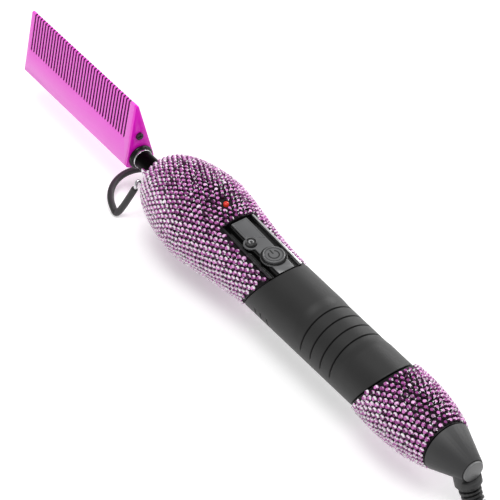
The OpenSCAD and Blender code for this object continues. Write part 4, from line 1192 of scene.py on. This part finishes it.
class HOTCOMB_OT_panel(bpy.types.Operator):
    """Finishes the control panel, its buttons, lamp and display"""

    bl_idname = "hotcomb.panel"
    bl_label = "Control panel"

    def execute(self, context):
        rounded_copy("panel_bezel", "gloss_black", "handle", "gloss_black", 0.25)
        rails = rounded_copy("panel_rails", "polished_chrome", "handle", "chrome", 0.2)
        # The near rail, where y is under 0, takes the dark copy of the chrome: painted shade for
        # its dim reflection
        rails.data.materials.append(look("smoked_trim"))
        for face in rails.data.polygons:
            face.material_index = int(face.center.y < 0)
        rounded_copy("face_plate", "plate_grey", "handle", "plate_grey", 0.15)
        rounded_copy("display_window", "display_grey", "handle", "display_glass", 0.1)
        # The power ring takes gloss black: painted shade for the dark gap round the power button
        rounded_copy("power_ring", "gloss_black", "handle", "plate_grey", 0.1)
        a = np.linspace(0, math.pi / 2, 12)
        dome = [(LENS_TOP - 0.6 + 0.6 * math.cos(t), 0.01 + LENS_R * math.sin(t)) for t in a]
        lens = turned("lens", dome + [(LENS_FOOT, LENS_R), (LENS_FOOT, 0.01)], look("red_lens"),
                      sides=48, ends="cap", place=about((LAMP_X, 0)))
        mount(lens, "handle", "red_lens", "light_pipe")
        for node, place, radius, name in (("power_button", POWER_AT, POWER_R, "plate_grey"),
                                          ("mode_button", MODE_AT, MODE_R, "button_grey")):
            cap = turned(node + "_cap", button_profile(radius), look(name), sides=72, ends="cap",
                         place=about(place))
            mount(cap, node, "button_grey", node)
        ink = look("mark_ink")
        marks = [("power_mark_arc", "power_button", ink,
                  arc_bar(POWER_AT, 2.15, 0.6, math.pi + MARK_GAP, 3 * math.pi - MARK_GAP)),
                 ("power_mark_bar", "power_button", ink, straight_bar(POWER_AT, -2.85, -0.4, 0.6)),
                 ("mode_mark", "mode_button", look("mark_light"),
                  arc_bar(MODE_AT, 0.85, 0.4, 0.4, 5.4))]
        for name, node, material, rows in marks:
            mount(skin(name, rows, material), node, "black_plastic")
        return {"FINISHED"}


# ---- Tail ----------------------------------------------------------------


class HOTCOMB_OT_tail(bpy.types.Operator):
    """Finishes the swivel tail, its disc and the strain relief"""

    bl_idname = "hotcomb.tail"
    bl_label = "Swivel tail"

    def execute(self, context):
        rounded_copy("tail_cone", "tail_plastic", "tail", "tail_plastic", 0.3)
        rounded_copy("end_disc", "disc_plastic", "tail", "disc_grey", 0.2)
        dress_all(charcoal_rubber=["strain_relief"])
        return {"FINISHED"}


# ---- Inner pieces --------------------------------------------------------


class HOTCOMB_OT_inside(bpy.types.Operator):
    """Finishes the housing and everything inside it"""

    bl_idname = "hotcomb.inside"
    bl_label = "Inner pieces"

    def execute(self, context):
        dress_all(
            black_plastic=["housing_upper", "housing_lower", "display_module", "power_switch",
                           "mode_switch", "triac", "contact_block", "swivel_washer"],
            bright_steel=["housing_screws", "board_screws", "swivel_spindle", "retaining_ring"],
            plain_brass=["contact_springs", "slip_rings"], red_lens=["indicator_led"],
            solder_mask=["circuit_board"], capacitor_sleeve=["capacitor"],
            red_silicone=["heater_leads"], white_silicone=["supply_leads"])
        return {"FINISHED"}


# ---- Panel in the sidebar, registration and run -----------------------------

STEPS = (HOTCOMB_OT_stage, HOTCOMB_OT_cord, HOTCOMB_OT_comb, HOTCOMB_OT_neck, HOTCOMB_OT_rest,
         HOTCOMB_OT_crystals, HOTCOMB_OT_grip, HOTCOMB_OT_panel, HOTCOMB_OT_tail,
         HOTCOMB_OT_inside)


class HOTCOMB_PT_sidebar(bpy.types.Panel):
    """Lists the steps that finish the hot comb"""

    bl_idname = "HOTCOMB_PT_sidebar"
    bl_label = "Hot comb"
    bl_space_type = "VIEW_3D"
    bl_region_type = "UI"
    bl_category = "Hot comb"

    def draw(self, context):
        for step in STEPS:
            self.layout.operator(step.bl_idname)


CLASSES = (HotCombSizes, HotCombStage, *STEPS, HOTCOMB_PT_sidebar)


def register():
    """Registers every class and hangs the settings on the scene."""
    for kind in CLASSES:
        bpy.utils.register_class(kind)
    bpy.types.Scene.hot_comb_sizes = PointerProperty(type=HotCombSizes)
    bpy.types.Scene.hot_comb_stage = PointerProperty(type=HotCombStage)


def unregister():
    """Takes the settings and every class away again."""
    del bpy.types.Scene.hot_comb_stage
    del bpy.types.Scene.hot_comb_sizes
    for kind in reversed(CLASSES):
        bpy.utils.unregister_class(kind)


def main():
    register()
    for step in STEPS:
        group, name = step.bl_idname.split(".")
        getattr(getattr(bpy.ops, group), name)()
    bpy.context.view_layer.update()


if __name__ == "__main__":
    main()
